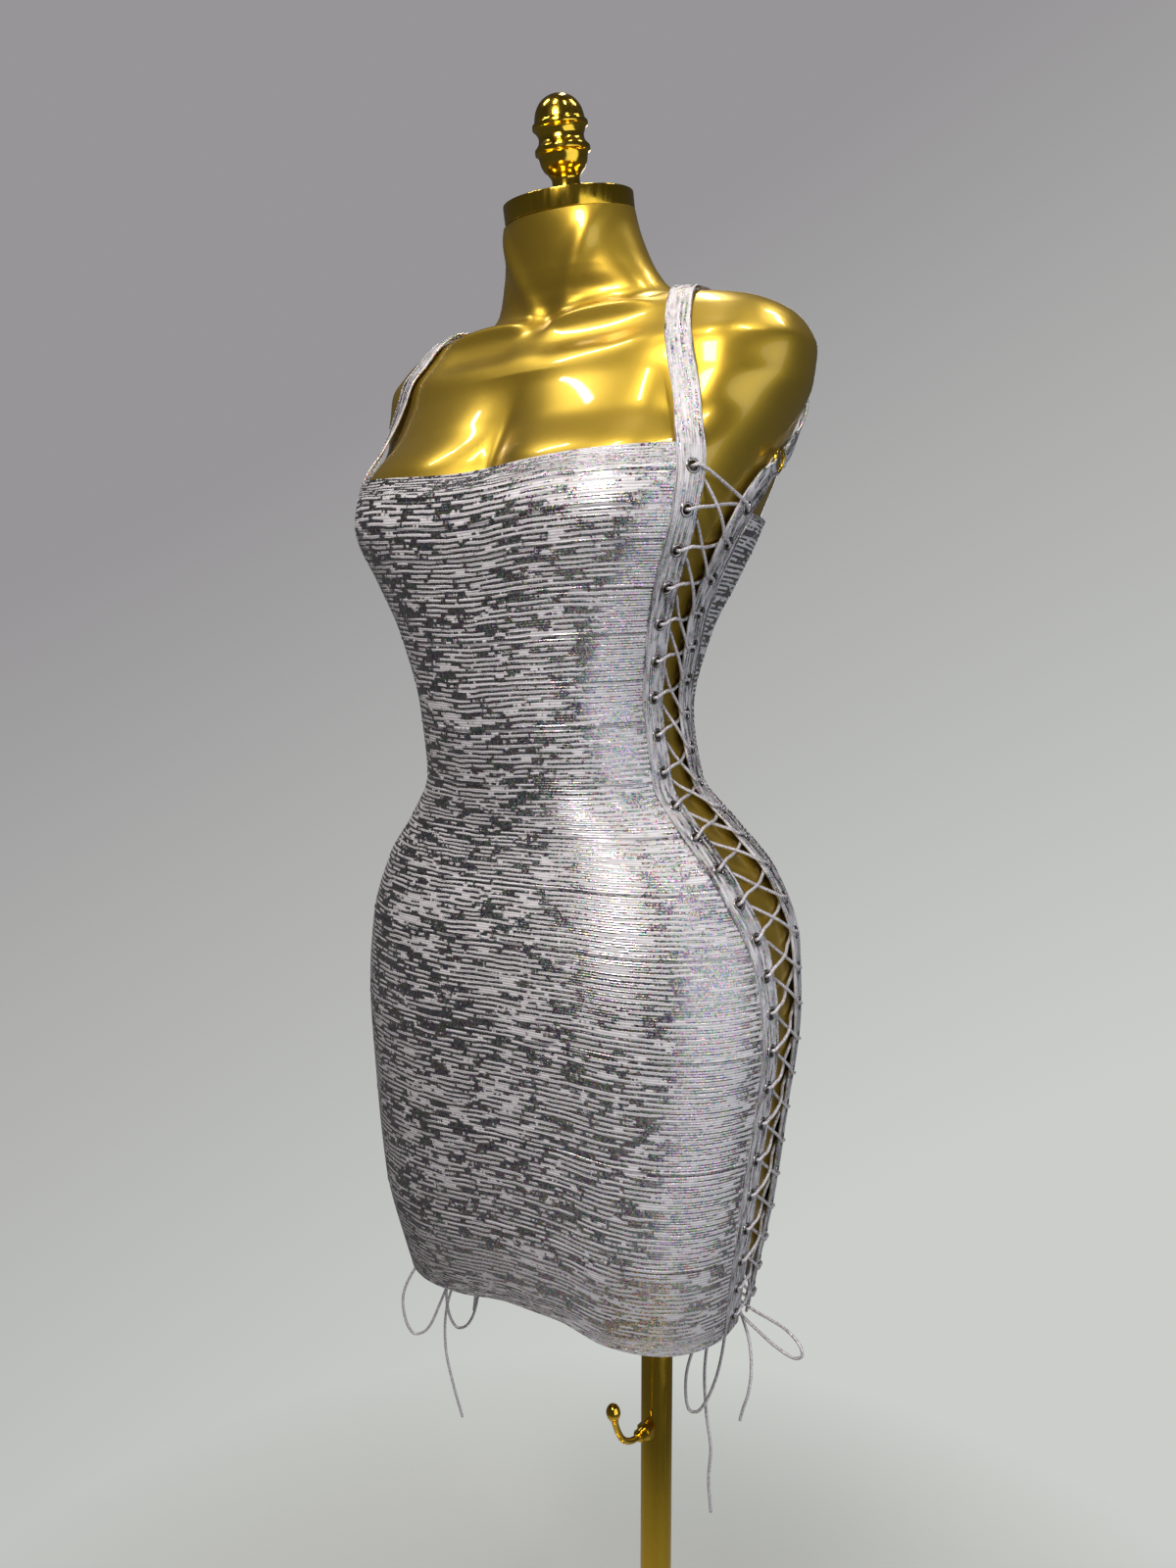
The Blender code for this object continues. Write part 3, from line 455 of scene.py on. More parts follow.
# %% Bows at the hem
KNOT = np.array([0.1340, 0.0040, 0.6440])
KNOT_RADIUS = 0.0046
BOWS = {
    "loop_left_out": ((0.95, 0.20, -0.05), [
        (0.1550, 0.0060, 0.6395), (0.1700, 0.0035, 0.6385), (0.1860, 0.0000, 0.6370),
        (0.1985, -0.0040, 0.6320), (0.2020, -0.0060, 0.6255), (0.1960, -0.0070, 0.6220),
        (0.1800, -0.0050, 0.6240), (0.1640, 0.0000, 0.6270), (0.1500, 0.0030, 0.6315),
    ], (0.70, -0.30, -0.62)),
    "loop_left_down": ((-0.62, -0.62, -0.50), [
        (0.1230, -0.0060, 0.6280), (0.1120, -0.0080, 0.6050), (0.1040, -0.0080, 0.5800),
        (0.1020, -0.0070, 0.5580), (0.1050, -0.0060, 0.5440), (0.1120, -0.0040, 0.5450),
        (0.1200, -0.0010, 0.5600), (0.1270, 0.0010, 0.5830), (0.1310, 0.0030, 0.6100),
    ], (-0.10, 0.05, -0.99)),
    "end_left_long": ((-0.75, 0.62, -0.25), [
        (0.1240, 0.0100, 0.6340), (0.1150, 0.0090, 0.6100), (0.1110, 0.0070, 0.5750),
        (0.1140, 0.0050, 0.5400), (0.1190, 0.0040, 0.5120), (0.1180, 0.0030, 0.4860),
        (0.1210, 0.0020, 0.4590),
    ], None),
    "end_left_short": ((0.30, 0.75, -0.60), [
        (0.1400, 0.0120, 0.6300), (0.1500, 0.0080, 0.6120), (0.1560, 0.0010, 0.5940),
        (0.1565, -0.0040, 0.5780), (0.1530, -0.0060, 0.5640), (0.1505, -0.0060, 0.5540),
    ], None),
    "loop_right_out": ((-0.60, -0.65, -0.47), [
        (-0.1400, -0.0060, 0.6290), (-0.1500, -0.0180, 0.6130), (-0.1680, -0.0320, 0.5920),
        (-0.1780, -0.0420, 0.5650), (-0.1760, -0.0430, 0.5420), (-0.1680, -0.0400, 0.5280),
        (-0.1570, -0.0340, 0.5330), (-0.1480, -0.0270, 0.5560), (-0.1390, -0.0170, 0.5900),
        (-0.1330, -0.0060, 0.6220),
    ], (0.10, -0.75, -0.66)),
    "loop_right_down": ((-0.55, 0.10, -0.83), [
        (-0.1420, 0.0020, 0.6200), (-0.1500, -0.0060, 0.5950), (-0.1530, -0.0120, 0.5680),
        (-0.1490, -0.0140, 0.5430), (-0.1400, -0.0130, 0.5310), (-0.1300, -0.0100, 0.5350),
        (-0.1230, -0.0060, 0.5520), (-0.1210, -0.0010, 0.5850), (-0.1260, 0.0020, 0.6180),
    ], (0.50, 0.05, -0.86)),
    "end_right_long": ((-0.25, 0.75, -0.61), [
        (-0.1400, 0.0110, 0.6250), (-0.1470, 0.0090, 0.5950), (-0.1560, 0.0020, 0.5650),
        (-0.1600, -0.0060, 0.5350), (-0.1560, -0.0110, 0.5030), (-0.1460, -0.0120, 0.4720),
        (-0.1370, -0.0100, 0.4430),
    ], None),
    "end_right_short": ((0.70, 0.60, -0.40), [
        (-0.1240, 0.0100, 0.6280), (-0.1260, 0.0100, 0.5980), (-0.1330, 0.0080, 0.5680),
        (-0.1360, 0.0060, 0.5400),
    ], None),
}


def from_knot(at, way):
    """Two points just off the knot, in one direction."""
    return [at + unit(np.array(way)) * (KNOT_RADIUS + far) for far in (0.0007, 0.0035)]


def curved(route, step):
    """Even points on a smooth curve through a route: a cubic between neighbours, whose slope at
    each point is that from the point before it to the point after it."""
    route = np.array(route)
    knots = np.concatenate([[0], np.cumsum(np.linalg.norm(np.diff(route, axis=0), axis=1))])
    padded = np.concatenate([[2 * route[0] - route[1]], route, [2 * route[-1] - route[-2]]])
    places = np.concatenate([[-knots[1]], knots, [2 * knots[-1] - knots[-2]]])
    slope = (padded[2:] - padded[:-2]) / (places[2:] - places[:-2])[:, None]
    at = np.linspace(0, knots[-1], max(6, round(knots[-1] / step)))
    i = np.clip(np.searchsorted(knots, at, side="right") - 1, 0, len(route) - 2)
    wide = (knots[i + 1] - knots[i])[:, None]
    t = (at - knots[i])[:, None] / wide
    return (
        route[i] * (1 + 2 * t) * (1 - t) ** 2 + slope[i] * wide * t * (1 - t) ** 2
        + route[i + 1] * t * t * (3 - 2 * t) - slope[i + 1] * wide * t * t * (1 - t)
    )


def lace_cord(name, points):
    """A curve with a round bevel; its length is measured along its own points."""
    curve = bpy.data.curves.new(name, "CURVE")
    curve.dimensions = "3D"
    curve.bevel_depth = LACE
    curve.bevel_resolution = 3
    curve.use_fill_caps = True
    spline = curve.splines.new("POLY")
    spline.points.add(len(points) - 1)
    spline.points.foreach_set("co", np.c_[points, np.ones(len(points))].astype(np.float32).ravel())
    spline.use_smooth = True
    obj = bpy.data.objects.new(name, curve)
    bpy.context.scene.collection.objects.link(obj)
    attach(obj, "root")
    long = float(np.linalg.norm(np.diff(points, axis=0), axis=1).sum())
    cord_lengths[name] = round(long, 3)
    return obj


cord_lengths = {}
LACE_FROM = ((0.55, -0.70, 0.45), (0.45, 0.75, 0.45))
for side, s in SIDES:
    flip = np.array([s, 1, 1])
    bar = np.concatenate([
        back.place(back_holes[0] + np.array([0.0004, 0.0002]), [-0.0003, -0.0034],
                   [OVER - 0.0008, OVER]),
        back.place(back_holes[0], [-0.0080], [OVER]),
        front.place(front_holes[0] + 0.001, [0.0120], [OVER]),
    ])
    tails = [np.array(from_knot(KNOT, way)[::-1]) for way in LACE_FROM]
    for which, run, lead, tail in (("a", run_a, bar, tails[0]), ("b", run_b, bar[:0], tails[1])):
        route = curved(np.concatenate([lead, run, tail]), 0.0016) * flip
        obj = lace_cord(f"cord_{side}_{which}", route)
        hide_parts(f"lace_{side}_{which}")
for name, (out, middle, home) in BOWS.items():
    centre = KNOT * (1 if "left" in name else -1, 1, 1)
    route = [*from_knot(centre, out), *np.array(middle)]
    route += from_knot(centre, home)[::-1] if home else []
    obj = lace_cord(f"cord_{name}", curved(route, 0.0022))
    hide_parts(name)
print(cord_lengths)

# %% [markdown]
# ## The knots
# A bow's knot is two or three turns of cord pulled tight. A short coil wound on itself reads as
# that, and hides where the loops, the ends and the lacing come together.

# %% Two knots
def knot_points():
    """A closed winding on a small ball: it goes round three times while it swings up and down
    twice, so that its turns cross each other."""
    turn = np.linspace(0, 2 * math.pi, 120, endpoint=False)
    swing = 0.75 * np.sin(2 * turn)
    round_ = 3 * turn
    ray = np.stack([np.cos(round_) * np.cos(swing), np.sin(round_) * np.cos(swing),
                    np.sin(swing)], -1)
    return ray * (KNOT_RADIUS - LACE + 0.0004)


for side, s in SIDES:
    path = knot_points() * (s, 1, 1) + KNOT * (s, 1, 1)
    rings = tube(np.concatenate([path, path[:2]]), LACE * 0.96, 8)[:-2]
    seam = np.concatenate([grid_faces(120, 8, loop=True),
                           np.stack([np.arange(8) + 952, np.roll(np.arange(8), -1) + 952,
                                     np.roll(np.arange(8), -1), np.arange(8)], -1)])
    knot = outward(piece(f"bow_knot_{side}", rings, seam, [f"knot_{side}"]))
print("knots:", len(knot.data.polygons), "faces each")

# %% [markdown]
# ## The gold form
# A shop form is a smooth moulded shell. The sections give its mass. On top of them come soft
# bells and ridges, added along the outward direction: two collar bones with the hollows above
# them, the notch between them, two cords of the neck, the fold in front of each shoulder and the
# valley that the dress bridges. Where the lacing leaves the side bare, the form lies a little
# further in, so that the cord and the cloth clear it.

# %% The torso's surface
FORM_BOTTOM, NECK_TOP = 0.690, 1.470
NECK_TILT = math.radians(11)
NECK_TILT_FROM = 1.430
CLEAVAGE = np.array([
    (1.150, 0.000), (1.190, 0.010), (1.235, 0.020), (1.275, 0.019), (1.310, 0.009), (1.345, 0.000),
])


def clearance(angle, z):
    """How far in the form lies: 1.6 mm under the cloth, 4.2 mm at the open sides."""
    side = np.sin(angle) ** 4 * np.clip((1.330 - z) / 0.050, 0, 1)
    here = 0.0016 + 0.0026 * side
    return here * np.clip((1.425 - z) / 0.020, 0, 1)


def relief(x, y, z):
    """Heights of the ridges and hollows at a place, in metres, for the front of the chest."""
    far = np.abs(x)
    ahead = 1 / (1 + np.exp((y + 0.004) / 0.006))
    bone = 1.3835 + 0.052 * far + 0.004 * np.sin(far * 34)
    ends = 1 / (1 + np.exp(-(far - 0.014) / 0.004)) / (1 + np.exp((far - 0.090) / 0.005))
    high = 0.0042 * bump_at(z, bone, 0.0055) * ends
    high -= 0.0046 * bump_at(z, bone + 0.0135, 0.0085) * ends * bump_at(far, 0.070, 0.045)
    high -= 0.0030 * bump_at(z, bone - 0.020, 0.012) * ends * bump_at(far, 0.055, 0.05)
    high -= 0.0050 * bump_at(z, 1.394, 0.012) * bump_at(x, 0, 0.011)
    lean = 0.012 + (z - 1.392) * 0.42
    up = 1 / (1 + np.exp(-(z - 1.396) / 0.005))
    high += 0.0030 * bump_at(far, lean, 0.0085) * up
    fold = 0.138 - (z - 1.290) * 0.22
    high -= 0.0036 * bump_at(far, fold, 0.013) * bump_at(z, 1.318, 0.034)
    high += 0.0026 * bump_at(far, fold + 0.030, 0.016) * bump_at(z, 1.335, 0.034)
    return high * ahead


heights = np.concatenate([
    np.linspace(FORM_BOTTOM, 1.12, 110), np.linspace(1.123, 1.340, 90)[1:],
    np.linspace(1.342, 1.425, 84)[0:], np.linspace(1.427, NECK_TOP, 22),
])
turn = np.linspace(0, 2 * math.pi, 240, endpoint=False)
angle, z = np.meshgrid(turn, heights)
spots = skin(angle, z)
body = lifted(angle, z, relief(*np.moveaxis(spots, -1, 0)) - clearance(angle, z))
dip = smooth(np.clip(z, 1.150, 1.345), CLEAVAGE[:, 0], CLEAVAGE[:, 1])
valley = dip * (bump_at(body[..., 0], 0, 0.030) + 0.30 * bump_at(body[..., 0], 0, 0.009))
body[..., 1] += (np.cos(angle) > 0) * valley
neck_turn = np.linspace(0, 2 * math.pi, 64, endpoint=False)
neck_ring = skin(neck_turn, np.full(64, NECK_TOP)).mean(axis=0)
lean = np.clip((z - NECK_TILT_FROM) / (NECK_TOP - NECK_TILT_FROM), 0, 1)
body[..., 2] += lean * (body[..., 1] - neck_ring[1]) * math.tan(NECK_TILT)
print("torso grid", body.shape)

# %% The torso as a piece
foot = body[:1].copy()
foot[..., :2] *= 0.985
foot[..., 2] = FORM_BOTTOM - 0.004
edge = body[:1].copy()
edge[..., :2] *= 0.997
edge[..., 2] = FORM_BOTTOM - 0.0025
rows = np.concatenate([foot, edge, body])
torso = piece("form_torso", rows, capped(len(rows), rows.shape[1]), ["torso"])
outward(torso)
torso.data.set_sharp_from_angle(angle=math.radians(50))
print("torso faces", len(torso.data.polygons))

# %% [markdown]
# ## Turned metal
# The cap on the neck, the finial, the pole, its collar and the base are all turned on a lathe. A
# profile of heights and radii is spun round an axis. The profile is read from a smooth curve, so
# that the reflections on polished brass have no facets.

# %% Lathe
def turned(profile, sides):
    """Rings round Z: each row of the profile is a height and a radius."""
    spin = np.linspace(0, 2 * math.pi, sides, endpoint=False)
    profile = np.array(profile, float)
    flat = np.stack([np.cos(spin), np.sin(spin)], -1)
    rings = profile[:, 1, None, None] * flat[None]
    tall = np.repeat(profile[:, 0, None, None], sides, axis=1)
    return np.concatenate([rings, tall], -1)


def tilted(points, at):
    """Leans points forward with the neck, then stands them at a place."""
    c, s = math.cos(NECK_TILT), math.sin(NECK_TILT)
    x, y, z = np.moveaxis(points, -1, 0)
    return np.stack([x, y * c - z * s, y * s + z * c], -1) + at


def rounded(profile, size, steps=4):
    """Rounds each inner corner of a profile by a small arc: two points `size` from the corner,
    joined by a quadratic curve that has the corner as its control point."""
    p = np.array(profile, float)
    out = [p[:1]]
    for i in range(1, len(p) - 1):
        a, b = p[i - 1] - p[i], p[i + 1] - p[i]
        r = min(size, 0.45 * np.linalg.norm(a), 0.45 * np.linalg.norm(b))
        start, end = p[i] + unit(a) * r, p[i] + unit(b) * r
        t = np.linspace(0, 1, steps)[:, None]
        out.append(start * (1 - t) ** 2 + 2 * p[i] * t * (1 - t) + end * t * t)
    return np.concatenate(out + [p[-1:]])


CAP_RADIUS, CAP_HEIGHT, SEAM_GAP = 0.0495, 0.014, 0.0003
upward = np.array([0, -math.sin(NECK_TILT), math.cos(NECK_TILT)])
cap = rounded([
    (0, 0.030), (0, CAP_RADIUS), (CAP_HEIGHT, CAP_RADIUS), (CAP_HEIGHT, CAP_RADIUS - 0.004),
    (CAP_HEIGHT - 0.0006, CAP_RADIUS - 0.006), (CAP_HEIGHT - 0.0006, 0.012)], 0.0009, 5)
outward(piece("form_neck_cap", tilted(turned(cap, 128), neck_ring + upward * SEAM_GAP),
              capped(len(cap), 128), ["neck_cap"], sharp=35))
print("cap rows", len(cap))

# %% The finial
FINIAL = np.array([
    (0.0000, 0.0150), (0.0020, 0.0155), (0.0038, 0.0150), (0.0052, 0.0122), (0.0075, 0.0108),
    (0.0130, 0.0105), (0.0165, 0.0120), (0.0205, 0.0155), (0.0250, 0.0176), (0.0290, 0.0184),
    (0.0302, 0.0190), (0.0318, 0.0208), (0.0345, 0.0208), (0.0368, 0.0190), (0.0395, 0.0174),
    (0.0425, 0.0170), (0.0455, 0.0180), (0.0478, 0.0196), (0.0492, 0.0209), (0.0515, 0.0208),
    (0.0530, 0.0192), (0.0560, 0.0186), (0.0600, 0.0176), (0.0640, 0.0156), (0.0675, 0.0126),
    (0.0700, 0.0088), (0.0714, 0.0050), (0.0720, 0.0012),
])
long = np.concatenate([[0], np.cumsum(np.linalg.norm(np.diff(FINIAL, axis=0), axis=1))])
at = np.linspace(0, long[-1], 150)
profile = np.stack([smooth(at, long, FINIAL[:, 0]), smooth(at, long, FINIAL[:, 1])], -1)
cap_top = neck_ring + upward * (CAP_HEIGHT + 2 * SEAM_GAP)
outward(piece("form_finial", tilted(turned(profile, 72), cap_top), capped(len(profile), 72),
              ["finial"], sharp=60))
print("finial rows", len(profile))

# %% Pole, collar and base
pole_low, pole_high = (np.array(corner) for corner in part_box("pole"))
pole_at = np.array([(pole_low[0] + pole_high[0]) / 2, (pole_low[1] + pole_high[1]) / 2, 0])
POLE_RADIUS = float(pole_high[0] - pole_low[0]) / 2
collar_low, collar_high = (np.array(corner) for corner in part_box("collar"))
base_low, base_high = (np.array(corner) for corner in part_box("base"))
base_radius = float(base_high[0] - base_low[0]) / 2


def stand_piece(name, profile, sides, node, size=0.0008):
    """A lathe piece on the pole's axis, its profile's corners rounded by `size`."""
    shape = rounded(profile, size)
    made = piece(name, turned(shape, sides) + pole_at, capped(len(shape), sides), [node],
                 sharp=40)
    return outward(made)


stand_piece("stand_pole", [
    (pole_low[2], 0.009), (pole_low[2], POLE_RADIUS), (pole_high[2], POLE_RADIUS),
    (pole_high[2], 0.009)], 72, "pole")
stand_piece("stand_collar", [
    (collar_low[2], 0.0136), (collar_low[2], 0.0158), (collar_high[2] - 0.005, 0.0162),
    (collar_high[2] - 0.004, 0.027), (collar_high[2], 0.027), (collar_high[2], 0.0136)],
    72, "collar")
stand_piece("stand_base", [
    (0, 0.02), (0, base_radius), (0.008, base_radius), (0.0115, base_radius - 0.003),
    (0.0125, base_radius - 0.008), (0.0140, 0.044), (0.0160, 0.028), (0.0250, 0.0242),
    (base_high[2], 0.0232), (base_high[2], 0.0136)], 160, "base", 0.0016)
print("pole radius", round(POLE_RADIUS, 4), "base radius", round(base_radius, 3))

# %% [markdown]
# ## The hook
# A garment hook is screwed to the pole: a threaded sleeve with a hexagon nut, then a thin rod
# that bends up to a ball. It is a circle of changing radius carried along a bent path.

# %% Hook
HOOK = np.array([
    (0.0132, 0.0000, 0.0075), (0.0150, 0.0000, 0.0075), (0.0185, 0.0000, 0.0075),
    (0.0188, 0.0000, 0.0053), (0.0225, 0.0004, 0.0052), (0.0260, 0.0010, 0.0050),
    (0.0264, 0.0010, 0.0027), (0.0300, 0.0013, 0.0025), (0.0340, 0.0022, 0.0025),
    (0.0385, 0.0038, 0.0025), (0.0430, 0.0063, 0.0025), (0.0475, 0.0098, 0.0025),
    (0.0512, 0.0142, 0.0025), (0.0545, 0.0195, 0.0025), (0.0572, 0.0252, 0.0025),
    (0.0590, 0.0300, 0.0026), (0.0600, 0.0340, 0.0030), (0.0605, 0.0355, 0.0040),
    (0.0609, 0.0372, 0.0049), (0.0613, 0.0392, 0.0055), (0.0617, 0.0412, 0.0056),
    (0.0620, 0.0432, 0.0052), (0.0623, 0.0450, 0.0043), (0.0626, 0.0465, 0.0030),
    (0.0628, 0.0475, 0.0012),
])
hook_z = float(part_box("hook")[1][2]) - 0.0475 - 0.0006
middle = np.stack([np.zeros(len(HOOK)), -HOOK[:, 0], HOOK[:, 1]], -1)
way = unit(np.gradient(middle, axis=0))
way[:6] = (0, -1, 0)
across = np.array([1.0, 0, 0])
above = np.cross(across, way)
spin = np.linspace(0, 2 * math.pi, 36, endpoint=False)
six = np.cos(math.pi / 6) / np.cos((spin + math.pi / 6) % (math.pi / 3) - math.pi / 6)
shape = np.where(np.arange(len(HOOK))[:, None] < 3, six, 1.0) * HOOK[:, 2:3]
rings = (middle[:, None] + shape[..., None] * (np.cos(spin)[None, :, None] * across
         + np.sin(spin)[None, :, None] * above[:, None]) + pole_at + (0, 0, hook_z))
outward(piece("stand_hook", rings, capped(len(HOOK), 36), ["hook"], sharp=32))
print("hook stands", round(hook_z, 3), "m up")

# %% [markdown]
# ## The dress's panels
# Bandage knit comes in strips that are sewn edge to edge, so the panel is one sheet with a raised
# seam and a small groove beside it at each join. Its rows bend to the neckline above and to the
# hem's two soft lobes below. The sheet has a real thickness: an outer face, an inner one and rims.

# %% Rows of a panel
NECKLINE = np.array([(-60, 1.281), (-30, 1.271), (0, 1.265), (30, 1.273), (60, 1.278)])
FRONT_HEM = np.array([
    (-90, 0.634), (-60, 0.643), (-30, 0.652), (-8, 0.662), (10, 0.671), (24, 0.667), (38, 0.649),
    (60, 0.634), (90, 0.626),
])
BACK_TOP = np.array([(90, 1.246), (140, 1.242), (180, 1.236), (220, 1.242), (270, 1.246)])
BACK_HEM = np.array([(90, 0.627), (140, 0.632), (180, 0.634), (220, 0.632), (270, 0.627)])
SEAMS = np.array([1.259, 1.238, 1.216, 1.186, 1.156, 1.124, 1.093, 1.0515, 1.015, 0.978, 0.936,
                  0.866, 0.786, 0.711])
PANEL_GAP = 0.0004


def panel_rows(holes, top):
    """Lengths along a band at which the frame's panel has its rows."""
    return np.concatenate([[holes[0] - top], holes, [holes[-1] + BAND_END]])


def panel_place(line, holes, top, is_front, share, across):
    """Angle and height on a panel: a straight mix between its two edges, bent near the top by the
    neckline's shape and near the bottom by the hem's, with cubic weights."""
    rows = panel_rows(holes, top)
    along = np.interp(share * (len(rows) - 1), np.arange(len(rows)), rows)
    reach = BAND_WIDTH / 2 + PANEL_GAP
    angle, z = line.beside(along, np.full(along.shape, -reach if is_front else reach))
    start, end = (-angle, angle) if is_front else (angle, 2 * math.pi - angle)
    angle = start + (end - start) * across
    for table, weight in ((NECKLINE if is_front else BACK_TOP, (1 - share) ** 3),
                          (FRONT_HEM if is_front else BACK_HEM, share**3)):
        shape, first, last = (
            smooth(np.degrees(a), table[:, 0], table[:, 1]) for a in (angle, start, end))
        z = z + weight * (shape - first * (1 - across) - last * across)
    return angle, z


fine = np.linspace(0, 1, 800)
_, seam_z = panel_place(front, front_holes, PANEL_TOPS[0], True, fine, np.full(800, 0.80))
front_seams = np.interp(-SEAMS, -seam_z, fine)
_, edge_z = panel_place(front, front_holes, PANEL_TOPS[0], True, front_seams, np.ones(len(SEAMS)))
_, back_z = panel_place(back, back_holes, PANEL_TOPS[1], False, fine, np.zeros(800))
back_seams = np.interp(-edge_z[1:], -back_z, fine)
back_seams = back_seams[(back_seams > 0.015) & (back_seams < 0.98)]
print("seams in front and behind:", len(front_seams), len(back_seams))

# %% Panels
def panel(name, line, holes, top, is_front, seams, length):
    """Rows lie evenly, and closer beside each seam, whose profile is a bell with a groove below."""
    near = (seams[:, None] + np.array([-4.0, -2.6, -1.7, -1.0, -0.5, 0, 0.5, 1.0, 1.7, 2.6, 4.0])
            * 1e-3 / length).ravel()
    share = np.unique(np.concatenate([np.linspace(0, 1, 170), near[(near > 0) & (near < 1)]]))
    share = share[np.concatenate([[True], np.diff(share) > 0.0003])]
    share[-1] = 1
    down, across = np.meshgrid(share, np.linspace(0, 1, 104), indexing="ij")
    angle, z = panel_place(line, holes, top, is_front, down, across)
    off = (down[..., None] - seams) * length
    ridge = (0.00040 * bump_at(off, 0, 0.0008) - 0.00034 * bump_at(off, 0.0016, 0.0011)).sum(-1)
    hem = 0.0004 * (bump_at(down, 0, 0.004 / length) + bump_at(down, 1, 0.006 / length))
    outer = lifted(angle, z, CLOTH + ridge + hem)
    inner = lifted(angle, z, 0 * z)
    step = np.linalg.norm(np.diff(outer, axis=1), axis=-1)
    run = np.concatenate([np.zeros((len(share), 1)), np.cumsum(step, axis=1)], axis=1)
    place = np.stack([run - run[:, -1:] / 2, down * length], -1)
    # Painted shade: this bell is highest 1.4 mm below each seam, in its groove, and darkens the
    # knit there through the "seam" attribute.
    groove_shade = bump_at(off, 0.0014, 0.0010).max(-1)
    made = piece(name, np.stack([outer, inner]), wall_faces(*down.shape),
                 [name.replace("cloth_", "")], np.stack([place, place]),
                 {"seam": np.stack([groove_shade, 0 * groove_shade])}, sharp=60)
    outward(made)
    return made


front_cloth = panel("cloth_front_panel", front, front_holes, PANEL_TOPS[0], True, front_seams,
                    0.653)
back_cloth = panel("cloth_back_panel", back, back_holes, PANEL_TOPS[1], False, back_seams, 0.634)
print("panel faces", len(front_cloth.data.polygons), len(back_cloth.data.polygons))

# %% [markdown]
# ## Bands with real eyelet holes
# A band is a strip folded double, with soft edges. Its face is made of cells, one for each eyelet:
# a ring of points on the hole's circle is stretched, step by step, to the cell's rectangle. Above
# the panel the strip narrows a little and runs on as the strap; at the ring it gathers.

# %% Bands
HOLE = 0.0034
AT_RING = 0.0066  # half of the strip's width where it goes through the ring
EDGE = np.array([(0.0009, 1.0), (0.0003, 0.86), (0.0, 0.5), (0.0003, 0.14), (0.0009, 0.0)])


def half_width(along, top):
    """Half of the strip's width: full beside the panel, narrower above it, gathered at the ring."""
    narrow = np.clip((top - along) / 0.03, 0, 1)
    half = (BAND_WIDTH - (BAND_WIDTH - STRAP_WIDTH) * narrow) / 2
    gather = np.clip((along - RING_REACH) / 0.012, 0, 1)
    gather = gather * gather * (3 - 2 * gather)
    return AT_RING + (half - AT_RING) * gather


def band_parts(holes, top_gap):
    """Places (length, aside, share of the thickness) and faces of a whole strip."""
    pitch, top = holes[1] - holes[0], holes[0] - top_gap
    places, faces = [], []

    def add(block, block_faces):
        """Joins a block of points and its faces on."""
        start = sum(len(p) for p in places)
        places.append(block.reshape(-1, 3))
        faces.extend(tuple(np.asarray(f) + start) for f in block_faces)

    side = np.linspace(-0.5, 0.5, 7)
    cells = (holes[:, None] + side[None, :-1] * pitch).ravel()
    first = holes[0] - pitch / 2
    head = np.linspace(RING_REACH, first, max(3, math.ceil((first - RING_REACH) / 0.004)))[:-1]
    tail = np.linspace(holes[-1] + pitch / 2, holes[-1] + BAND_END, 3)
    rows = np.concatenate([head, cells, tail])
    half = half_width(rows, top)
    for sign in (1, -1):
        edge = np.stack([np.repeat(rows[:, None], 5, 1), sign * (half[:, None] - EDGE[:, 0]),
                         np.repeat(EDGE[None, :, 1], len(rows), 0)], -1)
        add(edge, grid_faces(len(rows), 5)[:, ::sign])
    for part in (np.append(head, first), tail):
        inside = half_width(part, top) - EDGE[0, 0]
        for level in (1.0, 0.0):
            sheet = np.stack([np.repeat(part[:, None], 7, 1), inside[:, None] * side * 2,
                              np.full((len(part), 7), level)], -1)
            add(sheet, grid_faces(len(part), 7)[:, ::(-1 if level else 1)])
    inside = half_width(holes, top)[:, None] - EDGE[0, 0]
    steps = np.linspace(-0.5, 0.5, 7)[:-1]
    box_u = np.concatenate([steps, np.full(6, 0.5), -steps, np.full(6, -0.5)])
    box_v = np.concatenate([np.full(6, -0.5), steps, np.full(6, 0.5), -steps])
    corner_half = half_width(holes[:, None] + box_u * pitch, top) - EDGE[0, 0]
    rim = np.stack([box_u * pitch + 0 * inside, box_v * 2 * corner_half], -1)
    circle = rim / np.linalg.norm(rim, axis=-1, keepdims=True) * HOLE
    blend = np.array([0, 0.22, 0.55, 1.0])[:, None, None]
    for k, hole in enumerate(holes):
        flat = circle[k] * (1 - blend) + rim[k] * blend + (hole, 0)
        for level in (1.0, 0.0):
            block = np.concatenate([flat, np.full((4, 24, 1), level)], -1)
            add(block, grid_faces(4, 24, loop=True)[:, ::(1 if level else -1)])
        wall = np.concatenate([np.repeat(flat[:1], 3, 0),
                               np.repeat(np.array([1.0, 0.5, 0.0])[:, None, None], 24, 1)], -1)
        add(wall, grid_faces(3, 24, loop=True)[:, ::-1])
    for at in (rows[0], rows[-1]):
        h = float(half_width(at, top)) - EDGE[0, 0]
        cols = side * 2 * h
        loop = ([(at, c, 1.0) for c in cols] + [(at, h + EDGE[0, 0] - e, t) for e, t in EDGE[1:-1]]
                + [(at, c, 0.0) for c in cols[::-1]]
                + [(at, -h - EDGE[0, 0] + e, t) for e, t in EDGE[1:-1][::-1]])
        add(np.array(loop), [tuple(range(len(loop)))])
    return np.concatenate(places), faces


bands = {}
for kind, line, holes, top_gap, long in (("front", front, front_holes, PANEL_TOPS[0], 1.074),
                                         ("back", back, back_holes, PANEL_TOPS[1], 0.702)):
    places, faces = band_parts(holes, top_gap)
    spots = line.place(places[:, 0], places[:, 1], places[:, 2] * BAND_CLOTH)
    for side, s in SIDES:
        made = piece(f"cloth_{kind}_band_{side}", spots * (s, 1, 1), faces, [f"{kind}_band_{side}"],
                     places[:, :2], sharp=60)
        outward(made)
        bands[kind, side] = made
print({key: len(obj.data.polygons) for key, obj in bands.items()})

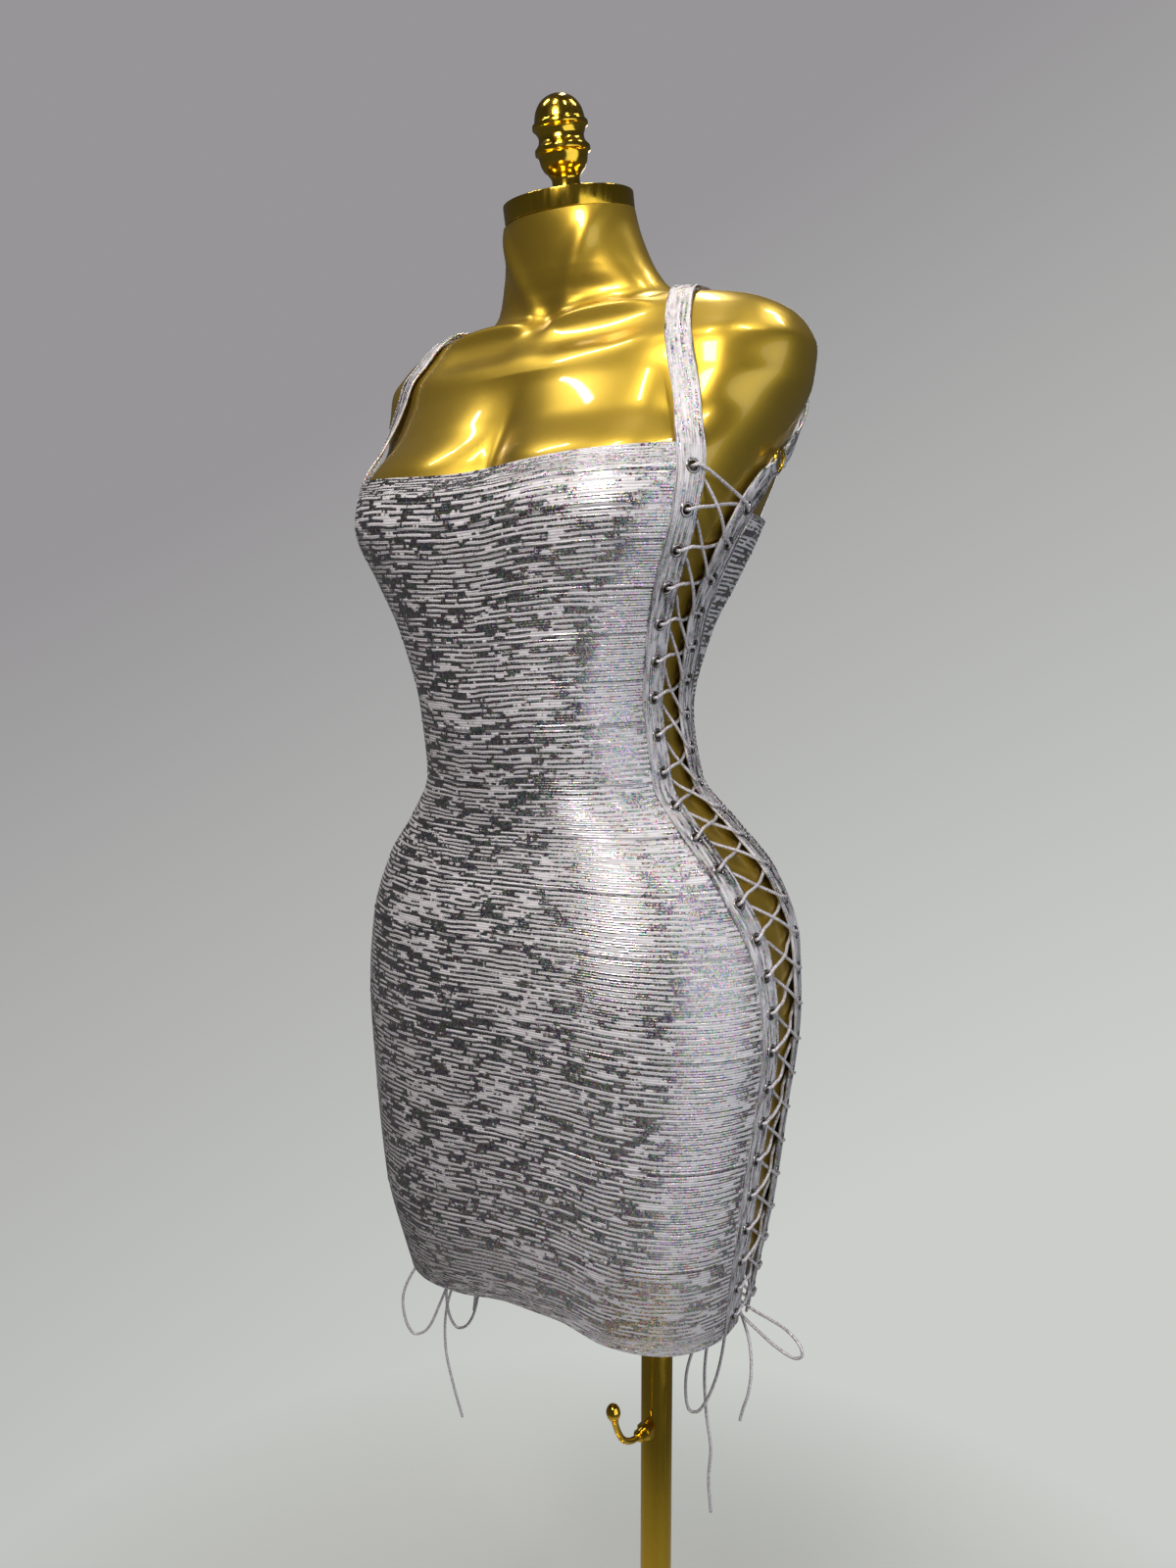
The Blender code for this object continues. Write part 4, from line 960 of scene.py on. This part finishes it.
# %% [markdown]
# ## Rings and the cloth folded round them
# The strap and the back band's short tab are each folded through a small gold ring. The fold is a
# thin sheet that goes over the wire and back under it, bent to the ring's own curve.

# %% Rings
ring_z, ring_angle = BACK_LINE[0, 0], math.radians(BACK_LINE[0, 1])
by_angle, by_height = slopes(ring_angle, ring_z)
out = unit(np.cross(by_angle, by_height))
aside = unit(by_angle)
ring_middle = lifted(np.array(ring_angle), np.array(ring_z), np.array(RING_WIRE + SEAM_GAP))
big, small = (np.linspace(0, 2 * math.pi, n, endpoint=False) for n in (72, 16))
ray = np.cos(big)[:, None] * aside + np.sin(big)[:, None] * np.cross(out, aside)
reach = RING_RADIUS + RING_WIRE * np.cos(small)
rise = (RING_WIRE * np.sin(small))[None, :, None]
ring = ring_middle + reach[None, :, None] * ray[:, None] + rise * out
ring_faces = grid_faces(72, 16, loop=True)
last = np.arange(16) + 71 * 16
ring_faces = np.concatenate([ring_faces, np.stack(
    [last, np.roll(last, -1), np.roll(np.arange(16), -1), np.arange(16)], -1)])
for side, s in SIDES:
    outward(piece(f"metal_ring_{side}", ring * (s, 1, 1), ring_faces, [f"strap_ring_{side}"]))
print("ring faces", len(ring_faces))

# %% Folds round the rings
FOLD = np.array([  # distance from the ring's middle and lift, of the fold's middle, in mm
    (11.6, 1.55), (10.4, 2.20), (9.4, 3.05), (8.5, 3.30), (7.5, 3.00), (6.85, 2.30), (6.70, 1.50),
    (6.85, 0.70), (7.5, -0.05), (8.5, -0.30), (9.4, -0.10), (10.4, 0.30), (11.6, 0.45),
]) * 1e-3


def fold_points(line):
    """The fold's path, thickened by its own normal and swept across the width. At the sides it is
    nearer to the ring's middle, as the ring's circle is."""
    way = unit(np.gradient(FOLD, axis=0))
    normal = np.stack([way[:, 1], -way[:, 0]], -1)
    across = np.linspace(-0.0064, 0.0064, 11)
    bend = np.sqrt(RING_RADIUS**2 - across**2) - RING_RADIUS
    grids = []
    for thick in (0.00042, -0.00042):
        path = FOLD + normal * thick
        fade = np.clip((0.0122 - path[:, 0]) / 0.0035, 0, 1)
        d = path[:, :1] + bend * fade[:, None]
        grids.append(line.place(d, np.broadcast_to(across, d.shape), np.repeat(path[:, 1:], 11, 1)))
    d = np.broadcast_to(np.arange(len(FOLD))[:, None] * 0.0012, (len(FOLD), 11))
    flat = np.stack([d, np.broadcast_to(across, d.shape)], -1)
    return np.stack(grids), np.stack([flat, flat])


for kind, line in (("front", front), ("back", back)):
    spots, flat = fold_points(line)
    for side, s in SIDES:
        fold = outward(piece(f"cloth_{kind}_fold_{side}", spots * (s, 1, 1),
                             wall_faces(len(FOLD), 11), flat=flat))
print("fold faces", len(fold.data.polygons))

# %% [markdown]
# ## Eyelets, piping and stitches
# An eyelet is a rolled metal tube with a flange on both sides of the cloth: one small profile
# turned round each hole. A thin piping covers the join of band and panel, and stitches run along
# the folded edges. Both are placed by length along the same lines.

# %% Eyelets
RIM = np.array([  # radius and lift of the rolled rim, in mm
    (5.15, 1.95), (5.05, 2.45), (4.30, 2.80), (3.50, 2.70), (3.05, 2.10), (3.00, 0.40),
    (3.40, -0.35), (4.20, -0.50), (4.80, -0.20),
]) * 1e-3
AROUND = 14  # points round one eyelet


def eyelet_points(line, holes):
    """The rim's profile turned round every hole: the cosine goes along the line and the sine
    beside it, both times the radius."""
    spin = np.linspace(0, 2 * math.pi, AROUND, endpoint=False)
    along = holes[:, None, None] + RIM[None, :, :1] * np.cos(spin)
    aside = RIM[None, :, :1] * np.sin(spin) + 0 * along
    return line.place(along, aside, RIM[None, :, 1:] + 0 * along)


rim_faces = grid_faces(len(RIM), AROUND, loop=True)
first_ring = np.arange(AROUND)
last_ring = first_ring + (len(RIM) - 1) * AROUND
rim_faces = np.concatenate([rim_faces, np.stack(
    [last_ring, np.roll(last_ring, -1), np.roll(first_ring, -1), first_ring], -1)])
for kind, line, holes in (("front", front, front_holes), ("back", back, back_holes)):
    spots = eyelet_points(line, holes)
    starts = np.arange(EYELETS) * len(RIM) * AROUND
    faces = (rim_faces[None] + starts[:, None, None]).reshape(-1, 4)
    for side, s in SIDES:
        outward(piece(f"metal_{kind}_eyelets_{side}", spots * (s, 1, 1), faces, sharp=70))
print("faces in a row of eyelets:", len(faces))

# %% Piping and stitches
STITCH = 0.0030  # from one stitch to the next


def stitch_points(line, starts, aside, lift, size=(0.95, 0.19)):
    """Short bars that dive into the cloth at both ends: five diamonds of four points along each."""
    half, thick = size[0] * 1e-3, size[1] * 1e-3
    t = np.array([-1, -0.62, 0, 0.62, 1])
    rise = np.array([-0.30, 0.10, 0.20, 0.10, -0.30]) * 1e-3
    side, up = np.array([1, 0, -1, 0]) * thick, np.array([0, 1, 0, -1]) * thick
    along = starts[:, None, None] + (t * half)[None, :, None] + 0 * side
    return line.place(along, aside + side + 0 * along, lift + rise[None, :, None] + up + 0 * along)


one = np.array(grid_faces(5, 4, loop=True))
for kind, line, holes, top_gap, panel_side in (("front", front, front_holes, PANEL_TOPS[0], -1),
                                               ("back", back, back_holes, PANEL_TOPS[1], 1)):
    top, foot = holes[0] - top_gap, holes[-1] + BAND_END
    pipe_at = np.linspace(top + 0.0008, foot - 0.0008, 260)
    pipe_flat = np.stack(np.meshgrid(pipe_at, np.arange(8) * 0.0005, indexing="ij"), -1)
    pipe = line.place(pipe_at, panel_side * (BAND_WIDTH / 2 + 0.0002), BAND_CLOTH + 0.0001)
    starts = np.arange(top + 0.002, foot - 0.002, STITCH)
    rows = [(starts, panel_side * (BAND_WIDTH / 2 - 0.0020), BAND_CLOTH),
            (starts, -panel_side * (BAND_WIDTH / 2 - 0.0018), BAND_CLOTH),
            (starts, panel_side * (BAND_WIDTH / 2 + 0.0026), CLOTH)]
    if kind == "front":
        on_strap = np.arange(RING_REACH + 0.014, top - 0.002, STITCH)
        rows += [(on_strap, e * (STRAP_WIDTH / 2 - 0.0018), BAND_CLOTH) for e in (-1, 1)]
    bars = np.concatenate([stitch_points(line, starts, off, lift) for starts, off, lift in rows])
    faces = (one[None] + (np.arange(len(bars)) * 20)[:, None, None]).reshape(-1, 4)
    ends = np.arange(len(bars))[:, None] * 20
    caps = np.concatenate([ends + [3, 2, 1, 0], ends + [16, 17, 18, 19]])
    for side, s in SIDES:
        outward(piece(f"cloth_{kind}_piping_{side}", tube(pipe * (s, 1, 1), 0.00065, 8),
                      capped(len(pipe), 8), flat=pipe_flat))
        outward(piece(f"thread_{kind}_{side}", bars * (s, 1, 1), np.concatenate([faces, caps])))
    print(kind, "stitches a side:", len(bars))

# %% [markdown]
# ## Materials
# The knit is pale and dull, and foil is printed on it. The print breaks along the ribs, so a noise
# stretched along them decides where the metal is. A second, coarser noise gathers the breaks into
# clumps. Everything is read from the flat cloth coordinates, so the ribs turn with the panels.

# %% Node helpers
def material(name, **settings):
    """A material with its shader's own sockets set; returns the material, its tree and shader."""
    made = bpy.data.materials.new(name)
    made.use_nodes = True
    shader = made.node_tree.nodes["Principled BSDF"]
    for key, value in settings.items():
        shader.inputs[key.replace("_", " ")].default_value = value
    return made, made.node_tree, shader


def add_node(tree, kind, inputs=(), **settings):
    """Adds a node, sets its properties, and links or sets its inputs; returns its first output."""
    made = tree.nodes.new(kind)
    for key, value in settings.items():
        setattr(made, key, value)
    for key, value in dict(inputs).items():
        if isinstance(value, bpy.types.NodeSocket):
            tree.links.new(value, made.inputs[key])
        else:
            made.inputs[key].default_value = value
    return made.outputs[0]


def math_node(tree, how, a, b=0.0):
    """One sum, product or other operation on two values."""
    return add_node(tree, "ShaderNodeMath", {0: a, 1: b}, operation=how)


def ramp(tree, value, low, high, out_low=0.0, out_high=1.0):
    """Maps low to high onto another range in a straight line, held at its ends."""
    return add_node(tree, "ShaderNodeMapRange",
                    {0: value, 1: low, 2: high, 3: out_low, 4: out_high}, clamp=True)


def mix_colour(tree, share, a, b, blend="MIX"):
    """A colour between two: (1 - share) of the first and share of the second. Another blend,
    such as MULTIPLY, takes the place of the second."""
    made = tree.nodes.new("ShaderNodeMix")
    made.data_type = "RGBA"
    made.blend_type = blend
    for index, value in ((0, share), (6, a), (7, b)):
        if isinstance(value, bpy.types.NodeSocket):
            tree.links.new(value, made.inputs[index])
        else:
            made.inputs[index].default_value = value
    return made.outputs[2]


def noise(tree, place, scale, detail=2.0, rough=0.5):
    """Soft noise from 0 to 1."""
    return add_node(tree, "ShaderNodeTexNoise",
                    {"Vector": place, "Scale": scale, "Detail": detail, "Roughness": rough})


def stretched(tree, place, size):
    """Divides coordinates by a length for each axis."""
    return add_node(tree, "ShaderNodeVectorMath",
                    {0: place, 1: tuple(1 / v for v in size)}, operation="MULTIPLY")


def bump(tree, shader, strength, distance, height):
    """Tilts the shader's normal by the slope of a height."""
    tree.links.new(add_node(tree, "ShaderNodeBump", {
        "Strength": strength, "Distance": distance, "Height": height}), shader.inputs["Normal"])


print("node helpers ready")


# %% Gold and brass
gold, tree, shader = material(
    "gold_paint", Base_Color=(0.60, 0.37, 0.04, 1), Metallic=0.82, Roughness=0.40,
    Coat_Weight=0.50, Coat_Roughness=0.06)
place = tree.nodes.new("ShaderNodeTexCoord").outputs["Object"]
soft = noise(tree, place, 6.0, 3.0)
tree.links.new(mix_colour(tree, ramp(tree, soft, 0.35, 0.65), (0.45, 0.305, 0.028, 1),
                          (0.53, 0.36, 0.038, 1)), shader.inputs["Base Color"])
grain = noise(tree, place, 900.0, 2.0)
tree.links.new(ramp(tree, grain, 0.3, 0.7, 0.32, 0.40), shader.inputs["Roughness"])
peel = noise(tree, place, 110.0, 1.0)
bump(tree, shader, 0.06, 0.0006, peel)

brass, tree, shader = material("polished_brass", Base_Color=(0.70, 0.46, 0.045, 1), Metallic=1.0,
                               Roughness=0.14)
place = tree.nodes.new("ShaderNodeTexCoord").outputs["Object"]
scuff = noise(tree, stretched(tree, place, (0.004, 0.004, 0.03)), 1.0, 3.0)
tree.links.new(ramp(tree, scuff, 0.3, 0.75, 0.10, 0.22), shader.inputs["Roughness"])
print("nodes in gold and brass:", len(gold.node_tree.nodes), len(brass.node_tree.nodes))

# %% Foil print on knit
ROW = 0.0018  # one rib of the knit


def foil(name, gap_low, gap_high, lines, tint, seam):
    """Printed knit: where the stretched noise is high the print has broken and the dull yarn
    shows; elsewhere it is metal that glitters, each small cell leaning its own way."""
    made, tree, shader = material(name, Metallic=1.0, Roughness=0.3)
    place = add_node(tree, "ShaderNodeUVMap", uv_map="cloth")
    parts = add_node(tree, "ShaderNodeSeparateXYZ", {0: place}).node.outputs
    sway = noise(tree, stretched(tree, place, (0.035, 0.02, 1)), 1.0)
    sway = math_node(tree, "MULTIPLY", sway, 0.004)
    row = math_node(tree, "FLOOR", math_node(tree, "DIVIDE", math_node(
        tree, "ADD", parts[1], sway), ROW))
    cell = add_node(tree, "ShaderNodeCombineXYZ", {
        0: math_node(tree, "DIVIDE", parts[0], 0.0210), 1: math_node(tree, "MULTIPLY", row, 7.31)})
    dash = noise(tree, cell, 1.0, 4.0, 0.62)
    clump = noise(tree, stretched(tree, place, (0.032, 0.0065, 1)), 1.0, 2.0)
    wide = noise(tree, stretched(tree, place, (0.11, 0.05, 1)), 1.0, 1.0)
    value = math_node(tree, "ADD", dash, math_node(tree, "MULTIPLY", math_node(
        tree, "SUBTRACT", clump, 0.5), 0.24))
    value = math_node(tree, "ADD", value, math_node(tree, "MULTIPLY", math_node(
        tree, "SUBTRACT", wide, 0.5), 0.16))
    every_second = math_node(tree, "PINGPONG", row, 1.0)
    value = math_node(tree, "ADD", value, math_node(tree, "MULTIPLY", math_node(
        tree, "SUBTRACT", every_second, 0.5), lines))
    broken = ramp(tree, value, gap_low, gap_high)
    # With `seam`, the "seam" attribute brings in a painted shade in the groove below each seam.
    if seam:
        groove_shade = tree.nodes.new("ShaderNodeAttribute")
        groove_shade.attribute_name = "seam"
        groove_shade = groove_shade.outputs["Fac"]
    cells = tree.nodes.new("ShaderNodeTexVoronoi")
    tree.links.new(stretched(tree, place, (0.0011, 0.0011, 1)), cells.inputs["Vector"])
    cells.inputs["Scale"].default_value = 1.0
    chance = cells.outputs["Color"]
    split = tree.nodes.new("ShaderNodeSeparateColor")
    tree.links.new(chance, split.inputs[0])
    rainbow = mix_colour(tree, 0.46, tint, chance)
    bright = ramp(tree, split.outputs[0], 0.0, 1.0, 0.60, 1.0)
    metal = mix_colour(tree, 1.0, rainbow, bright, "MULTIPLY")
    yarn = mix_colour(tree, ramp(tree, dash, 0.4, 0.8), (0.52, 0.52, 0.54, 1),
                      (0.74, 0.74, 0.77, 1))
    colour = mix_colour(tree, broken, metal, yarn)
    # Painted shade: in the groove below each seam the colour goes up to 0.38 of the way to near
    # black.
    if seam:
        colour = mix_colour(tree, ramp(tree, groove_shade, 0.25, 0.9, 0.0, 0.38), colour,
                            (0.10, 0.10, 0.12, 1))
    tree.links.new(colour, shader.inputs["Base Color"])
    tree.links.new(ramp(tree, broken, 0.0, 1.0, 1.0, 0.06), shader.inputs["Metallic"])
    shiny = ramp(tree, split.outputs[1], 0.0, 1.0, 0.20, 0.38)
    tree.links.new(add_node(tree, "ShaderNodeMix", {0: broken, 2: shiny, 3: 0.62}),
                   shader.inputs["Roughness"])
    rib = math_node(tree, "SINE", math_node(tree, "MULTIPLY", parts[1], 2 * math.pi / ROW))
    height = math_node(tree, "ADD", math_node(tree, "MULTIPLY", rib, 0.00010), math_node(
        tree, "MULTIPLY", split.outputs[2], 0.00004))
    height = math_node(tree, "ADD", height, math_node(tree, "MULTIPLY", broken, 0.00006))
    bump(tree, shader, 1.0, 1.0, height)
    return made


# The knit gets the painted shade in the grooves below its seams; the strip gets none.
knit = foil("foil_on_knit", 0.505, 0.535, 0.13, (0.60, 0.58, 0.62, 1), True)
print("nodes in the foil:", len(knit.node_tree.nodes))
strip = foil("foil_on_strip", 0.40, 0.60, 0.06, (0.42, 0.42, 0.45, 1), False)

# %% Lace, thread and eyelets
braid, tree, shader = material("lace_braid", Base_Color=(0.6, 0.6, 0.62, 1), Metallic=0.25,
                               Roughness=0.42)
place = tree.nodes.new("ShaderNodeTexCoord").outputs["Object"]
twist = noise(tree, place, 900.0, 1.0)
tree.links.new(mix_colour(tree, ramp(tree, twist, 0.35, 0.65), (0.36, 0.35, 0.37, 1),
                          (0.76, 0.75, 0.79, 1)), shader.inputs["Base Color"])
bump(tree, shader, 0.6, 0.0004, twist)
silver, tree, shader = material("eyelet_silver", Base_Color=(0.30, 0.29, 0.29, 1), Metallic=1.0,
                                Roughness=0.22)
place = tree.nodes.new("ShaderNodeTexCoord").outputs["Object"]
worn = noise(tree, place, 260.0, 2.0)
tree.links.new(ramp(tree, worn, 0.3, 0.7, 0.16, 0.32), shader.inputs["Roughness"])

LOOKS = (("form_torso", gold), ("form_", brass), ("stand_", brass), ("metal_ring", brass),
         ("metal_", silver), ("cloth_front_panel", knit), ("cloth_back_panel", knit),
         ("cloth_", strip), ("cord_", braid), ("bow_", braid), ("thread_", braid))
dressed = 0
for obj in bpy.context.scene.objects:
    found = [look for start, look in LOOKS if obj.name.startswith(start)]
    if found and obj.type in ("MESH", "CURVE"):
        obj.data.materials.clear()
        obj.data.materials.append(found[0])
        dressed += 1
print("pieces with a finish:", dressed)

# %% [markdown]
# ## Light and ground
# One tall soft box on the right lights the foil beside the lacing. A small warm lamp in front, up
# and to the left of the camera, gives the knit its plain light. A weak one behind lights the back,
# and a few small panels overhead draw the highlights on the gold.
# The world is dim to whatever reflects it, so the foil keeps its dark parts. To the eye it is pale,
# with painted light: lighter low down and towards the soft box on the right.

# %% Lamps
def lamp(name, place, aim, size, watts, colour=(1, 1, 1)):
    """A rectangle of light at a place. It is turned by two angles, about X and then Z, so that
    its -Z looks at the aim."""
    light = bpy.data.lights.new(name, "AREA")
    light.shape = "RECTANGLE"
    light.size, light.size_y = size
    light.energy = watts
    light.color = colour
    obj = bpy.data.objects.new(name, light)
    way = np.array(aim, float) - np.array(place, float)
    flat = math.hypot(way[0], way[1])
    obj.location = place
    obj.rotation_euler = (math.atan2(flat, -way[2]), 0, math.atan2(-way[0], way[1]) if flat else 0)
    bpy.context.scene.collection.objects.link(obj)


lamp("soft_box", (1.40, -0.20, 0.84), (0.0, 0, 0.84), (1.5, 1.55), 10.5, (0.94, 0.955, 1.0))
lamp("small_front", (0.40, -1.22, 1.98), (0, 0, 1.1), (0.42, 0.42), 18, (1.0, 0.90, 0.87))
lamp("behind", (-0.90, 1.50, 1.60), (0, 0, 1.0), (0.8, 0.8), 7)
for k, (x, y) in enumerate(((-0.7, -0.5), (0.1, -0.7), (0.8, -0.3), (-0.3, 0.5), (0.6, 0.6))):
    lamp(f"overhead_{k}", (x, y, 2.7), (0, 0, 1.3), (0.09, 0.40), 5, (1.0, 0.95, 0.88))

# %% World and ground
world = bpy.data.worlds.new("studio")
bpy.context.scene.world = world
world.use_nodes = True
tree = world.node_tree
tree.nodes.clear()
way = tree.nodes.new("ShaderNodeTexCoord").outputs["Generated"]
tall = add_node(tree, "ShaderNodeSeparateXYZ", {0: way}).node.outputs[2]
right = add_node(tree, "ShaderNodeVectorMath", {0: way, 1: (0.804, 0.595, 0)},
                 operation="DOT_PRODUCT").node.outputs["Value"]
level = math_node(tree, "SUBTRACT", tall, math_node(tree, "MULTIPLY", right, 0.55))
# Painted light on the backdrop that only the camera sees: lighter low down and to the camera's
# right, where the soft box stands, darker up and to the left.
backdrop_painted_light = mix_colour(tree, ramp(tree, level, -0.55, 0.30), (0.60, 0.62, 0.59, 1),
                  (0.31, 0.30, 0.31, 1))
felt = mix_colour(tree, ramp(tree, tall, -0.3, 0.6), (0.08, 0.08, 0.08, 1), (0.045, 0.045, 0.05, 1))
to_eye = tree.nodes.new("ShaderNodeLightPath").outputs["Is Camera Ray"]
colour = mix_colour(tree, to_eye, felt, backdrop_painted_light)
ground = add_node(tree, "ShaderNodeBackground", {"Color": colour, "Strength": 1.0})
tree.links.new(ground, tree.nodes.new("ShaderNodeOutputWorld").inputs["Surface"])

points = turned([(0.0, 0.0001), (0.0, 0.3), (0.0, 0.6), (0.0, 0.95)], 64)
mesh = bpy.data.meshes.new("floor")
mesh.from_pydata((points.reshape(-1, 3) - (0, 0, 0.0005)).tolist(), [],
                 [tuple(map(int, f))[::-1] for f in grid_faces(4, 64, loop=True)])
mesh.update()
floor = bpy.data.objects.new("floor", mesh)
bpy.context.scene.collection.objects.link(floor)
pale, tree, shader = material("pale_floor", Base_Color=(0.62, 0.63, 0.61, 1), Roughness=0.75)
place = tree.nodes.new("ShaderNodeTexCoord").outputs["Object"]
far = add_node(tree, "ShaderNodeVectorMath", {0: place}, operation="LENGTH").node.outputs["Value"]
tree.links.new(ramp(tree, far, 0.22, 0.90, 1.0, 0.0), shader.inputs["Alpha"])
mesh.materials.append(pale)
bpy.context.scene.view_settings.view_transform = "Standard"
print("floor faces up:", round(mesh.polygons[0].normal.z, 2))

# %% Sizes and finish
lows, highs = [], []
for obj in bpy.context.scene.objects:
    if obj.type in ("MESH", "CURVE") and any(obj.name.startswith(start) for start, _ in LOOKS):
        corners = np.array([tuple(c) for c in obj.bound_box])
        lows.append(corners.min(axis=0))
        highs.append(corners.max(axis=0))
